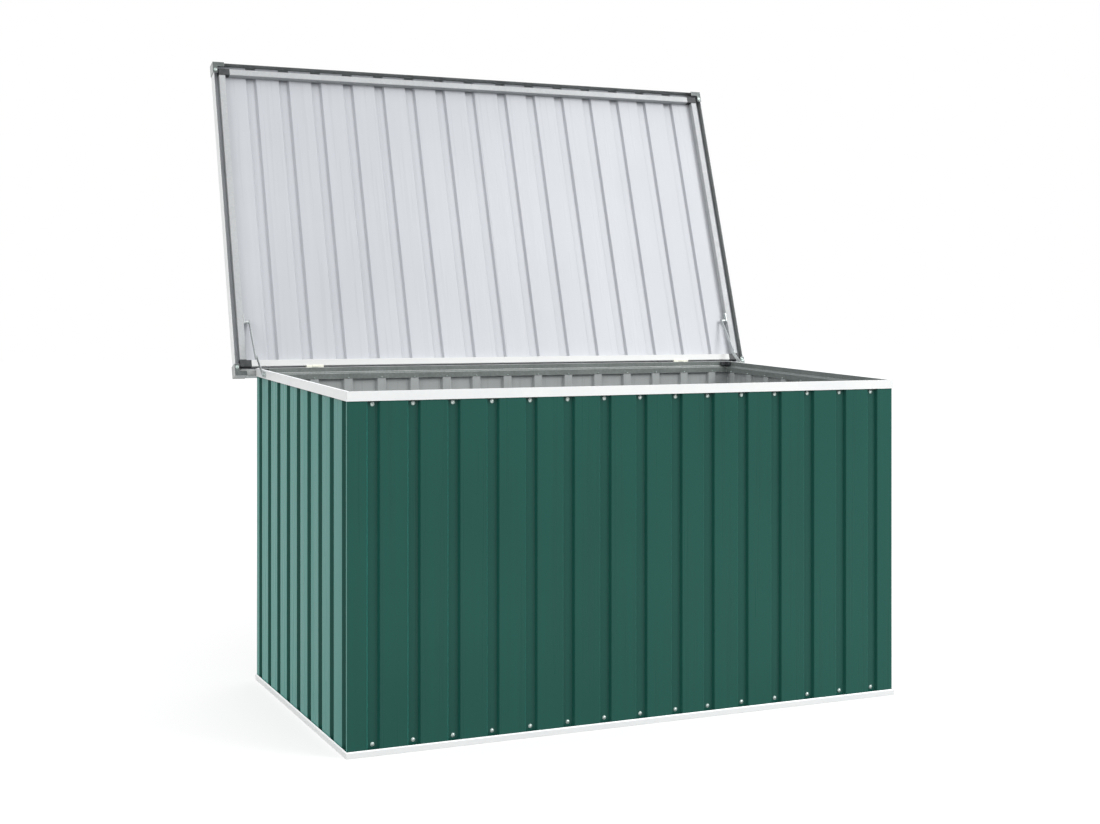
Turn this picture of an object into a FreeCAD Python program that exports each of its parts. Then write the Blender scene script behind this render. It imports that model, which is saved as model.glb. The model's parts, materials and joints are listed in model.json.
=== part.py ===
import FreeCAD, Part
import math
import os

# Garden storage box of ribbed sheet steel with a hinged, framed lid. Millimetres, +Z up.
# The origin is the middle of the base, +Y points to the back, and the lid is modelled open.

# Body, measured over the outside of the wall sheets
BODY_WIDTH = 1580.0
BODY_DEPTH = 905.0
FRONT_HEIGHT = 881.0
RIM_RISE = 26.0

# Ribbed sheet, the same roll-formed profile on the walls and the lid
SHEET = 0.5
GROOVE_PITCH = 104.0
GROOVE_OPENING = 33.0
GROOVE_FLOOR = 25.0
GROOVE_DEPTH = 10.0
GROOVE_END_SPACE = 40.0
SIDE_FIRST_GROOVE = 28.0
WALL_SEAM_PITCH = 97.0
WALL_LEFT_GROOVE_COUNT = 9
LID_SEAM_PITCH = 113.0
LID_LEFT_RIB_COUNT = 8
LID_RIB_END_SPACE = 80.0
SEAM_EDGE_GAP = 4.0
CORNER_BEND = 3.0
CORNER_RETURN = 10.0
CORNER_GAP = 0.3

# Folded rails round the top and the foot of the walls
RAIL = 0.8
RAIL_CLEAR = 0.8
TOP_FACE = 24.0
TOP_WEB = 7.6
TOP_BAND = 14.0
TOP_JOGGLE = 5.0
TOP_FLANGE = 16.0
TOP_SHEET_GAP = 0.5
FOOT_PROUD = 4.0
FOOT_FACE = 13.0
FOOT_LIP = 3.0
FOOT_FLANGE = 36.0
MITRE_REACH = 60.0

# Moulded blocks that hold the top rails square
RIM_BLOCK_LEG = 26.0
RIM_BLOCK = 10.0
RIM_BLOCK_HEIGHT = 12.0
RIM_BLOCK_DROP = 1.0

# Floor sheets that lie inside the foot rails
FLOOR_GAP = 0.2
FLOOR_LAP = 40.0

# Wall and lid screws, with six-sided heads and three-sided self-piercing points
HEAD_SIDES = 6
POINT_SIDES = 3
HOLE_LEAD = 1.0
SCREW_HEAD = 10.5
SCREW_CROWN = 7.0
SCREW_HEAD_HEIGHT = 2.6
SCREW_SHANK = 4.0
SCREW_LENGTH = 7.0
SCREW_DROP = 32.0
SCREW_FOOT = 26.0
SMALL_HEAD = 6.0
SMALL_CROWN = 4.2
SMALL_HEAD_HEIGHT = 1.6
SMALL_SHANK = 3.0
SMALL_LENGTH = 5.0

# Lid frame of square tube; the lid's own plane is level while it is being drawn
TUBE = 20.0
TUBE_WALL = 1.0
STAY_ROOM = 25.0
FRONT_ROOM = 26.5
SIDE_EDGE_ROOM = 18.4
FRONT_EDGE_ROOM = 19.5
REAR_EDGE_ROOM = 28.0
JOINT_ARM = 34.0
JOINT_BODY = 22.0
PLUG_LENGTH = 25.0
PLUG_CLEAR = 0.3
LID_OPEN = 108.0

# Edge trim round the lid and the caps on its corners
TRIM = 0.8
TRIM_TOP = 22.0
TRIM_DEPTH = 35.0
TRIM_REAR_DEPTH = 27.0
TRIM_LIP = 12.0
TRIM_REAR_LIP = 20.0
SHEET_EDGE_GAP = 1.0
CAP = 1.2
CAP_CLEAR = 0.3
CAP_LEG = 36.0
CAP_LIP = 14.0
CAP_SCREW_EDGE = 7.5
CAP_SCREW_ALONG = 26.0
TUBE_SCREW_SPACING = 300.0

# Butt hinges between the back rail and the rear tube
HINGE_WIDTH = 52.0
HINGE_FROM_SIDE = 175.0
LEAF = 1.5
LEAF_DROP = 20.0
LEAF_RISE = 17.0
PIN_OFFSET = 0.5
PIN_RISE = 4.0
PIN_TO_TUBE = 4.0
PIN_RADIUS = 2.0
KNUCKLE_RADIUS = 3.5
KNUCKLE_SIDES = 8
KNUCKLE_CLEAR = 0.5
RUNNING_CLEAR = 0.05
BORE_OVERRUN = 1.0
LEAF_SCREW_SPREAD = 30.0

# Folding stays, one outside each side wall
STAY_FROM_BACK = 87.0
STAY_DROP = 12.0
STAY_UP_LID = 140.0
STAY_ABOVE_PIN = 12.0
LOWER_LINK = 79.0
ELBOW_OFFSET = 14.0
LINK = 2.0
LINK_WIDTH = 12.0
LINK_END_SIDES = 6
LINK_GAP = 0.5
ELBOW_ROOM = 2.2
ELBOW_CLEAR = 0.3
STUD_RADIUS = 3.0
STUD_HEAD_RADIUS = 4.5
STUD_HEAD = 1.4
BRACKET = 2.0
BRACKET_TAIL = 28.0
BRACKET_NOSE = 8.0
BRACKET_HEIGHT = 16.0
BRACKET_SCREW_PITCH = 10.0

# Distance below which two corners count as one
POINT_MATCH = 0.05

V = FreeCAD.Vector
ACROSS = V(1, 0, 0)
UP = V(0, 0, 1)

RIM_BACK = FRONT_HEIGHT + RIM_RISE
RAIL_FACE = RAIL_CLEAR + RAIL
FLANGE_SEAT = GROOVE_DEPTH + SHEET
WALL_X = BODY_WIDTH / 2
WALL_Y = BODY_DEPTH / 2


def rim(y):
    """Height of the top of the rails at a place between the front and the back."""
    return FRONT_HEIGHT + RIM_RISE * (y + WALL_Y) / BODY_DEPTH


def box(x0, x1, y0, y1, z0, z1):
    """Block between two values on each axis, given in either order."""
    low = V(min(x0, x1), min(y0, y1), min(z0, z1))
    return Part.makeBox(abs(x1 - x0), abs(y1 - y0), abs(z1 - z0), low)


def rod(radius, x0, x1, y, z):
    """Round bar that lies across the box."""
    return Part.makeCylinder(radius, abs(x1 - x0), V(min(x0, x1), y, z), ACROSS)


def sided_bar(radius, sides, x0, x1, y, z):
    """Bar with flat sides that lies across the box."""
    turn = 2 * math.pi / sides
    start = V(min(x0, x1), y, z)
    corners = [start + V(0, math.cos(turn * k), math.sin(turn * k)) * radius for k in range(sides)]
    return prism(corners, ACROSS * abs(x1 - x0))


def prism(points, travel):
    """Solid swept straight from a closed outline."""
    return Part.Face(Part.makePolygon(points + points[:1])).extrude(travel)


def folded_strip(path, thickness):
    """Outline of folded sheet: the path is one skin, the other lies to its left."""
    headings = []
    for (x0, y0), (x1, y1) in zip(path, path[1:]):
        length = math.hypot(x1 - x0, y1 - y0)
        headings.append(((x1 - x0) / length, (y1 - y0) / length))
    before = headings[:1] + headings
    after = headings + headings[-1:]
    other_skin = []
    for (x, y), (ax, ay), (bx, by) in zip(path, before, after):
        reach = thickness / (1 + ax * bx + ay * by)
        other_skin.append((x - (ay + by) * reach, y + (ax + bx) * reach))
    return path + other_skin[::-1]


# Rectangles of four sides, each with its middle, its run and its way inward
def rectangle(y_middle, half_width, half_depth):
    return {
        "front": (V(0, y_middle - half_depth, 0), V(1, 0, 0), V(0, 1, 0), half_width),
        "back": (V(0, y_middle + half_depth, 0), V(-1, 0, 0), V(0, -1, 0), half_width),
        "left": (V(-half_width, y_middle, 0), V(0, -1, 0), V(1, 0, 0), half_depth),
        "right": (V(half_width, y_middle, 0), V(0, 1, 0), V(-1, 0, 0), half_depth),
    }


BODY = rectangle(0, WALL_X, WALL_Y)


def at(frame, side, run, inward, z):
    middle, along, inside, half = frame[side]
    return middle + along * run + inside * inward + UP * z


def mitred_rail(frame, side, path, thickness, level):
    """Folded rail along one side, cut at 45 degrees at both corners."""
    half = frame[side][3]
    reach = half + MITRE_REACH
    start = at(frame, side, -reach, 0, 0)
    end = at(frame, side, reach, 0, 0)
    start_level = level(start.y)
    end_level = level(end.y)
    outline = [at(frame, side, -reach, s, z + start_level) for s, z in folded_strip(path, thickness)]
    bar = prism(outline, end - start + UP * (end_level - start_level))
    low = bar.BoundBox.ZMin - MITRE_REACH
    high = bar.BoundBox.ZMax + MITRE_REACH
    corners = [
        (-half - MITRE_REACH, -MITRE_REACH),
        (half + MITRE_REACH, -MITRE_REACH),
        (half - MITRE_REACH, MITRE_REACH),
        (-half + MITRE_REACH, MITRE_REACH),
    ]
    wedge = prism([at(frame, side, run, s, low) for run, s in corners], UP * (high - low))
    return bar.common(wedge)


# Screws: a low tapered head on a slender point, with matching holes
def regular_corners(radius, sides, z):
    turn = 2 * math.pi / sides
    return [V(radius * math.cos(turn * k), radius * math.sin(turn * k), z) for k in range(sides)]


def solid_of(outlines):
    """Solid whose flat faces have the given outlines."""
    faces = [Part.Face(Part.makePolygon(points + points[:1])) for points in outlines]
    return Part.Solid(Part.Shell(faces))


def screw_point(width, length, lead):
    """Slender pyramid to a tip at the length, widened evenly to start ahead of the seat by the lead."""
    base = regular_corners(width / 2 * (length + lead) / length, POINT_SIDES, -lead)
    tip = V(0, 0, length)
    sides = [[base[k - 1], base[k], tip] for k in range(POINT_SIDES)]
    return solid_of([base] + sides)


def screw_blank(head, crown, head_height, shank, length):
    seat = regular_corners(head / 2, HEAD_SIDES, 0)
    top = regular_corners(crown / 2, HEAD_SIDES, -head_height)
    sides = [[seat[k - 1], seat[k], top[k], top[k - 1]] for k in range(HEAD_SIDES)]
    return solid_of([seat, top] + sides).fuse(screw_point(shank, length, 0.0)).removeSplitter()


WALL_SCREW = screw_blank(SCREW_HEAD, SCREW_CROWN, SCREW_HEAD_HEIGHT, SCREW_SHANK, SCREW_LENGTH)
WALL_HOLE = screw_point(SCREW_SHANK, SCREW_LENGTH, HOLE_LEAD)
SMALL_SCREW = screw_blank(SMALL_HEAD, SMALL_CROWN, SMALL_HEAD_HEIGHT, SMALL_SHANK, SMALL_LENGTH)
SMALL_HOLE = screw_point(SMALL_SHANK, SMALL_LENGTH, HOLE_LEAD)


def set_in(blanks, places):
    """Copies of a screw or hole, each at a point of its seat and along its own direction."""
    copies = []
    for point, inward in places:
        placement = FreeCAD.Placement(point, FreeCAD.Rotation(UP, inward))
        copies.append(blanks.transformed(placement.toMatrix(), True))
    return copies


def drilled(shape, hole, places):
    """Shape with the holes of those screws that pass through it."""
    near = [h for h in set_in(hole, places) if h.BoundBox.intersect(shape.BoundBox)]
    return shape.cut(near) if near else shape


# Ribbed sheet: grooves at even pitch, with one odd step where two sheets lap
def groove_centres(space, end_space, seam_pitch, before_seam):
    count = 1 + math.floor((space - 2 * end_space - (seam_pitch - GROOVE_PITCH)) / GROOVE_PITCH)
    steps = [seam_pitch if k == before_seam else GROOVE_PITCH for k in range(1, count)]
    centres = [-sum(steps) / 2]
    for step in steps:
        centres.append(centres[-1] + step)
    return centres[:before_seam], centres[before_seam:]


def ribbed_path(start, end, centres, first_level, last_level):
    """Skin of a ribbed sheet; the flat before the first or after the last rib may step to a lap."""
    path = [(start, first_level)]
    for centre in centres:
        left_level = first_level if centre == centres[0] else 0.0
        right_level = last_level if centre == centres[-1] else 0.0
        path.append((centre - GROOVE_OPENING / 2, left_level))
        path.append((centre - GROOVE_FLOOR / 2, GROOVE_DEPTH))
        path.append((centre + GROOVE_FLOOR / 2, GROOVE_DEPTH))
        path.append((centre + GROOVE_OPENING / 2, right_level))
    path.append((end, last_level))
    return path


def seam_edges(left_centres, right_centres):
    """Where the right sheet starts and the left sheet ends on the flat that they share."""
    right_start = left_centres[-1] + GROOVE_OPENING / 2 + SEAM_EDGE_GAP
    left_end = right_centres[0] - GROOVE_OPENING / 2 - SEAM_EDGE_GAP
    return right_start, left_end


nodes = {}

# Foot rails: channels with a leaning lip outside and a tall flange behind the walls
FOOT_PATH = [
    (-RAIL_FACE, FOOT_FACE + FOOT_LIP),
    (-FOOT_PROUD, FOOT_FACE),
    (-FOOT_PROUD, 0.0),
    (FLANGE_SEAT + RAIL, 0.0),
    (FLANGE_SEAT + RAIL, FOOT_FLANGE),
]
# Top rails: a white face, a narrow top, then a band that joggles in to a flange
TOP_PATH = [
    (FLANGE_SEAT + RAIL, -TOP_BAND - TOP_JOGGLE - TOP_FLANGE),
    (FLANGE_SEAT + RAIL, -TOP_BAND - TOP_JOGGLE),
    (TOP_WEB - RAIL_FACE, -TOP_BAND),
    (TOP_WEB - RAIL_FACE, 0.0),
    (-RAIL_FACE, 0.0),
    (-RAIL_FACE, -TOP_FACE),
]
SHEET_TOP_DROP = TOP_BAND + TOP_JOGGLE + RAIL + TOP_SHEET_GAP

left_grooves, right_grooves = groove_centres(
    BODY_WIDTH, GROOVE_END_SPACE, WALL_SEAM_PITCH, WALL_LEFT_GROOVE_COUNT)
side_count = 1 + math.floor((BODY_DEPTH - 2 * SIDE_FIRST_GROOVE) / GROOVE_PITCH)
side_grooves = [SIDE_FIRST_GROOVE - WALL_Y + GROOVE_PITCH * k for k in range(side_count)]


def wall_runs(side):
    """Groove centres along the run of one wall; the side walls count from the front corner."""
    if side == "right":
        return side_grooves
    if side == "left":
        return [-run for run in side_grooves]
    return left_grooves + right_grooves


def wall_screws(side):
    """Screws in every groove floor, one row into the top rail and one into the foot rail."""
    inward = BODY[side][2]
    places = []
    for run in wall_runs(side):
        seat = at(BODY, side, run, GROOVE_DEPTH, 0)
        wall_line = at(BODY, side, run, 0, 0)
        places.append((seat + UP * (rim(wall_line.y) - SCREW_DROP), inward))
        places.append((seat + UP * SCREW_FOOT, inward))
    return places


# Fittings on the back and side rails
PIN_Y = WALL_Y + RAIL_FACE + LEAF + PIN_OFFSET
PIN_Z = RIM_BACK + PIN_RISE
HINGE_X = WALL_X - HINGE_FROM_SIDE
STAY_Y = WALL_Y - STAY_FROM_BACK
STAY_Z = rim(STAY_Y) - STAY_DROP
RAIL_X = WALL_X + RAIL_FACE
SIGNS = {"left": -1, "right": 1}

leaf_screws = {}
rail_fitting_places = []
for name, sign in SIGNS.items():
    leaf_screws[name] = []
    for step in (-0.5, 0.5):
        x = sign * HINGE_X + step * LEAF_SCREW_SPREAD
        leaf_screws[name].append((V(x, WALL_Y + RAIL_FACE + LEAF, RIM_BACK - LEAF_DROP / 2), V(0, -1, 0)))
    rail_fitting_places += leaf_screws[name]
stay_screws = {}
for name, sign in SIGNS.items():
    stay_screws[name] = []
    for step in (1, 2):
        y = STAY_Y - step * BRACKET_SCREW_PITCH
        stay_screws[name].append((V(sign * (RAIL_X + BRACKET), y, STAY_Z), V(-sign, 0, 0)))
    rail_fitting_places += stay_screws[name]

for side in BODY:
    foot = mitred_rail(BODY, side, FOOT_PATH, RAIL, lambda y: 0.0)
    nodes[side + "_foot_rail"] = drilled(foot, WALL_HOLE, wall_screws(side))
    top = mitred_rail(BODY, side, TOP_PATH, RAIL, rim)
    top = drilled(top, WALL_HOLE, wall_screws(side))
    nodes[side + "_top_rail"] = drilled(top, SMALL_HOLE, rail_fitting_places)
    nodes[side + "_wall_screws"] = Part.makeCompound(set_in(WALL_SCREW, wall_screws(side)))


# Walls: two lapped sheets at the front and back that fold round the corners, one sheet a side
def standing_sheet(side, path, top):
    outline = [at(BODY, side, run, s, RAIL) for run, s in folded_strip(path, SHEET)]
    return prism(outline, UP * (top - RAIL))


def bent_corner(sheet, side, run):
    """Round the fold of a sheet that turns a corner, outside and inside."""
    for offset, radius in ((SHEET, CORNER_BEND), (0.0, CORNER_BEND - SHEET)):
        fold = at(BODY, side, math.copysign(abs(run) + offset, run), SHEET - offset, 0)
        edges = [e for e in sheet.Edges
                 if all(math.hypot(v.X - fold.x, v.Y - fold.y) < POINT_MATCH for v in e.Vertexes)]
        sheet = sheet.makeFillet(radius, edges)
    return sheet


right_start, left_end = seam_edges(left_grooves, right_grooves)
fold_out = WALL_X + SHEET
for side, height in (("front", FRONT_HEIGHT), ("back", RIM_BACK)):
    top = height - SHEET_TOP_DROP
    first = ribbed_path(-fold_out, left_end, left_grooves, 0.0, 0.0)
    first_sheet = standing_sheet(side, [(-fold_out, CORNER_RETURN)] + first, top)
    second = ribbed_path(right_start, fold_out, right_grooves, SHEET, 0.0)
    second_sheet = standing_sheet(side, second + [(fold_out, CORNER_RETURN)], top)
    names = ("left", "right") if side == "front" else ("right", "left")
    for name, sheet, run in ((names[0], first_sheet, -WALL_X), (names[1], second_sheet, WALL_X)):
        sheet = bent_corner(sheet, side, run)
        nodes[side + "_wall_" + name + "_sheet"] = drilled(sheet, WALL_HOLE, wall_screws(side))

sheet_end = WALL_Y - CORNER_BEND - CORNER_GAP
for side in ("left", "right"):
    path = ribbed_path(-sheet_end, sheet_end, sorted(wall_runs(side)), 0.0, 0.0)
    sheet = standing_sheet(side, path, RIM_BACK)
    below_rim = [
        V(-WALL_X - MITRE_REACH, -WALL_Y, 0),
        V(-WALL_X - MITRE_REACH, WALL_Y, 0),
        V(-WALL_X - MITRE_REACH, WALL_Y, rim(WALL_Y) - SHEET_TOP_DROP),
        V(-WALL_X - MITRE_REACH, -WALL_Y, rim(-WALL_Y) - SHEET_TOP_DROP),
    ]
    sheet = sheet.common(prism(below_rim, ACROSS * (BODY_WIDTH + 2 * MITRE_REACH)))
    nodes[side + "_wall_sheet"] = drilled(sheet, WALL_HOLE, wall_screws(side))

# Moulded corner blocks inside the top rails
block_in = TOP_WEB - RAIL_FACE
for end in ("front", "back"):
    for side in ("left", "right"):
        sign = SIGNS[side]
        y_sign = -1 if end == "front" else 1
        corner_x = sign * (WALL_X - block_in)
        corner_y = y_sign * (WALL_Y - block_in)
        high = rim(y_sign * WALL_Y) - RIM_BLOCK_DROP
        low = high - RIM_BLOCK_HEIGHT
        along = box(corner_x, corner_x - sign * RIM_BLOCK_LEG,
                    corner_y, corner_y - y_sign * RIM_BLOCK, low, high)
        back = box(corner_x, corner_x - sign * RIM_BLOCK,
                   corner_y, corner_y - y_sign * RIM_BLOCK_LEG, low, high)
        nodes[end + "_" + side + "_rim_block"] = along.fuse(back).removeSplitter()

# Floor: two thin sheets that lie inside the foot rails and lap in the middle
floor_x = WALL_X - FLANGE_SEAT - RAIL - FLOOR_GAP
floor_y = WALL_Y - FLANGE_SEAT - RAIL - FLOOR_GAP
nodes["floor_left_sheet"] = box(-floor_x, FLOOR_LAP / 2, -floor_y, floor_y, 0, SHEET)
lapped = [
    (-FLOOR_LAP / 2, SHEET),
    (FLOOR_LAP / 2 + SHEET, SHEET),
    (FLOOR_LAP / 2 + 2 * SHEET, 0.0),
    (floor_x, 0.0),
]
floor_outline = [V(x, -floor_y, z) for x, z in folded_strip(lapped, SHEET)]
nodes["floor_right_sheet"] = prism(floor_outline, V(0, 2 * floor_y, 0))

# The lid is drawn level with the hinge pin at the origin and is then swung open
LID_REST = FreeCAD.Placement(V(0, PIN_Y, PIN_Z), FreeCAD.Rotation(ACROSS, -LID_OPEN))


def swung(shape):
    return shape.transformed(LID_REST.toMatrix(), True)


TUBE_LOW = PIN_TO_TUBE
TUBE_HIGH = TUBE_LOW + TUBE
TUBE_MIDDLE = TUBE_LOW + TUBE / 2
SIDE_TUBE_IN = RAIL_X + STAY_ROOM
SIDE_TUBE_OUT = SIDE_TUBE_IN + TUBE
LID_X = SIDE_TUBE_OUT + SIDE_EDGE_ROOM
REAR_TUBE_REAR = -LEAF - PIN_OFFSET
REAR_TUBE_FRONT = REAR_TUBE_REAR - TUBE
FRONT_TUBE_REAR = -(PIN_Y + WALL_Y + RAIL_FACE + FRONT_ROOM)
FRONT_TUBE_FRONT = FRONT_TUBE_REAR - TUBE
LID_REAR = REAR_TUBE_REAR + REAR_EDGE_ROOM
LID_FRONT = FRONT_TUBE_FRONT - FRONT_EDGE_ROOM
TRIM_INSET = CAP + CAP_CLEAR
SHEET_INSET = TRIM_INSET + TRIM + SHEET_EDGE_GAP
TRIM_HIGH = TUBE_HIGH + GROOVE_DEPTH + SHEET + TRIM
lid_left_ribs, lid_right_ribs = groove_centres(
    2 * LID_X, LID_RIB_END_SPACE, LID_SEAM_PITCH, LID_LEFT_RIB_COUNT)
lid_ribs = lid_left_ribs + lid_right_ribs

# Lid screws go down through the flats into the tubes, and up through the caps into the trim
flats = [(a + b) / 2 for a, b in zip(lid_ribs, lid_ribs[1:]) if b - a == GROOVE_PITCH]
DOWN = V(0, 0, -1)
lid_screw_places = []
for x in flats[::2]:
    for y in ((REAR_TUBE_REAR + REAR_TUBE_FRONT) / 2, (FRONT_TUBE_REAR + FRONT_TUBE_FRONT) / 2):
        lid_screw_places.append((V(x, y, TUBE_HIGH + SHEET), DOWN))
side_screws = math.floor((REAR_TUBE_FRONT - FRONT_TUBE_REAR) / TUBE_SCREW_SPACING)
for k in range(side_screws):
    y = REAR_TUBE_FRONT + (FRONT_TUBE_REAR - REAR_TUBE_FRONT) * (k + 0.5) / side_screws
    for sign in SIGNS.values():
        lid_screw_places.append((V(sign * (SIDE_TUBE_IN + TUBE / 2), y, TUBE_HIGH + SHEET), DOWN))
CAP_LOW = TRIM_HIGH - TRIM_DEPTH - CAP_CLEAR - CAP
CAP_HIGH = TRIM_HIGH + CAP_CLEAR + CAP
cap_screw_places = []
for sign in SIGNS.values():
    for y in (LID_REAR - CAP_SCREW_ALONG, LID_FRONT + CAP_SCREW_ALONG):
        cap_screw_places.append((V(sign * (LID_X - CAP_SCREW_EDGE), y, CAP_LOW), UP))

# Lid fittings: hinge leaves on the rear tube and stay brackets on the side tubes
lid_leaf_screws = []
for sign in SIGNS.values():
    for step in (-0.5, 0.5):
        x = sign * HINGE_X + step * LEAF_SCREW_SPREAD
        lid_leaf_screws.append((V(x, -PIN_OFFSET, TUBE_MIDDLE), V(0, -1, 0)))
lid_stay_screws = []
for sign in SIGNS.values():
    for step in (1, 2):
        y = -STAY_UP_LID - step * BRACKET_SCREW_PITCH
        lid_stay_screws.append((V(sign * (SIDE_TUBE_IN - BRACKET), y, STAY_ABOVE_PIN), V(sign, 0, 0)))
lid_fitting_places = lid_leaf_screws + lid_stay_screws

# Lid sheets: ribs stand up on the outside, and the left sheet laps over the right one
sheet_x = LID_X - SHEET_INSET
sheet_rear = LID_REAR - SHEET_INSET
sheet_front = LID_FRONT + SHEET_INSET
lid_right_start, lid_left_end = seam_edges(lid_left_ribs, lid_right_ribs)
lid_paths = {
    "left": ribbed_path(-sheet_x, lid_left_end, lid_left_ribs, 0.0, SHEET),
    "right": ribbed_path(lid_right_start, sheet_x, lid_right_ribs, 0.0, 0.0),
}
for name, path in lid_paths.items():
    outline = [V(x, sheet_front, TUBE_HIGH + z) for x, z in folded_strip(path, SHEET)]
    sheet = prism(outline, V(0, sheet_rear - sheet_front, 0))
    nodes["lid_" + name + "_sheet"] = swung(drilled(sheet, WALL_HOLE, lid_screw_places))

# Lid tubes, open square sections that stop at the corner joints
JOINT_X = SIDE_TUBE_OUT - JOINT_ARM
joint_rear = REAR_TUBE_REAR - JOINT_BODY
joint_front = FRONT_TUBE_FRONT + JOINT_BODY
tubes = {
    "lid_rear_tube": (-JOINT_X, JOINT_X, REAR_TUBE_FRONT, REAR_TUBE_REAR),
    "lid_front_tube": (-JOINT_X, JOINT_X, FRONT_TUBE_FRONT, FRONT_TUBE_REAR),
    "lid_left_tube": (-SIDE_TUBE_OUT, -SIDE_TUBE_IN, joint_front, joint_rear),
    "lid_right_tube": (SIDE_TUBE_IN, SIDE_TUBE_OUT, joint_front, joint_rear),
}
for name, (x0, x1, y0, y1) in tubes.items():
    runs_across = name in ("lid_rear_tube", "lid_front_tube")
    wall_x = 0.0 if runs_across else TUBE_WALL
    wall_y = TUBE_WALL if runs_across else 0.0
    bore = box(x0 + wall_x, x1 - wall_x, y0 + wall_y, y1 - wall_y, TUBE_LOW + TUBE_WALL, TUBE_HIGH - TUBE_WALL)
    tube = box(x0, x1, y0, y1, TUBE_LOW, TUBE_HIGH).cut(bore)
    tube = drilled(tube, WALL_HOLE, lid_screw_places)
    nodes[name] = swung(drilled(tube, SMALL_HOLE, lid_fitting_places))

# Moulded corner joints: a block flush with the tubes and a plug into each of the two
plug_in = TUBE_WALL + PLUG_CLEAR
plug_low = TUBE_LOW + plug_in
plug_high = TUBE_HIGH - plug_in
for end, y_out, y_sign in (("rear", REAR_TUBE_REAR, -1), ("front", FRONT_TUBE_FRONT, 1)):
    for side, sign in SIGNS.items():
        y_in = y_out + y_sign * JOINT_BODY
        block = box(sign * SIDE_TUBE_OUT, sign * JOINT_X, y_out, y_out + y_sign * TUBE, TUBE_LOW, TUBE_HIGH)
        heel = box(sign * SIDE_TUBE_OUT, sign * SIDE_TUBE_IN, y_out, y_in, TUBE_LOW, TUBE_HIGH)
        across_plug = box(sign * JOINT_X, sign * (JOINT_X - PLUG_LENGTH),
                          y_out + y_sign * plug_in, y_out + y_sign * (TUBE - plug_in), plug_low, plug_high)
        along_plug = box(sign * (SIDE_TUBE_OUT - plug_in), sign * (SIDE_TUBE_IN + plug_in),
                         y_in, y_in + y_sign * PLUG_LENGTH, plug_low, plug_high)
        joint = block.fuse([heel, across_plug, along_plug]).removeSplitter()
        nodes["lid_" + end + "_" + side + "_joint"] = swung(joint)

# Edge trim: folded channels over the sheet's edges, mitred at the corners
trim_half = (LID_REAR - LID_FRONT) / 2 - TRIM_INSET
LID_EDGE = rectangle((LID_REAR + LID_FRONT) / 2, LID_X - TRIM_INSET, trim_half)
trim_shapes = {
    "front": (TRIM_DEPTH, TRIM_LIP),
    "back": (TRIM_REAR_DEPTH, TRIM_REAR_LIP),
    "left": (TRIM_DEPTH, TRIM_LIP),
    "right": (TRIM_DEPTH, TRIM_LIP),
}
for side, (depth, lip) in trim_shapes.items():
    path = [(TRIM_TOP, 0.0), (0.0, 0.0), (0.0, -depth), (lip, -depth)]
    trim = mitred_rail(LID_EDGE, side, path, TRIM, lambda y: TRIM_HIGH)
    name = "rear" if side == "back" else side
    nodes["lid_" + name + "_trim"] = swung(drilled(trim, WALL_HOLE, cap_screw_places))


# Corner caps: thin L-shaped shells over the mitres
def corner_box(sign, y_edge, y_sign, near, far, low, high):
    x0 = sign * (LID_X - near)
    x1 = sign * (LID_X - far)
    return box(x0, x1, y_edge + y_sign * near, y_edge + y_sign * far, low, high)


for end, y_edge, y_sign in (("rear", LID_REAR, -1), ("front", LID_FRONT, 1)):
    for side, sign in SIGNS.items():
        shell = corner_box(sign, y_edge, y_sign, 0, CAP_LEG, CAP_LOW, CAP_HIGH)
        hollow = corner_box(sign, y_edge, y_sign, CAP, CAP_LEG + CAP, CAP_LOW + CAP, CAP_HIGH - CAP)
        inside = corner_box(sign, y_edge, y_sign, CAP_LIP, CAP_LEG + CAP, CAP_LOW - CAP, CAP_HIGH + CAP)
        cap = drilled(shell.cut([hollow, inside]), WALL_HOLE, cap_screw_places)
        nodes["lid_" + end + "_" + side + "_cap"] = swung(cap)

nodes["lid_screws"] = swung(Part.makeCompound(set_in(WALL_SCREW, lid_screw_places + cap_screw_places)))

# Hinges: the rail leaf has the two outer knuckles, the lid leaf the middle one
knuckle = (HINGE_WIDTH - 2 * KNUCKLE_CLEAR) / 3
KNUCKLE_SWEEP = KNUCKLE_RADIUS + KNUCKLE_CLEAR
BORE = PIN_RADIUS + RUNNING_CLEAR


def hinge_leaf(x_middle, spans, y0, y1, y_pin, z_pin, z_near, z_far):
    """Flat leaf between z_near and z_far, with rolled knuckles on the given spans of the pin."""
    half = HINGE_WIDTH / 2
    parts = []
    for start, end in spans:
        parts.append(box(x_middle + start, x_middle + end, y0, y1, z_pin, z_near))
        parts.append(sided_bar(KNUCKLE_RADIUS, KNUCKLE_SIDES, x_middle + start, x_middle + end, y_pin, z_pin))
    leaf = box(x_middle - half, x_middle + half, y0, y1, z_near, z_far).fuse(parts).removeSplitter()
    reach = half + BORE_OVERRUN
    return leaf.cut(rod(BORE, x_middle - reach, x_middle + reach, y_pin, z_pin))


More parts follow.
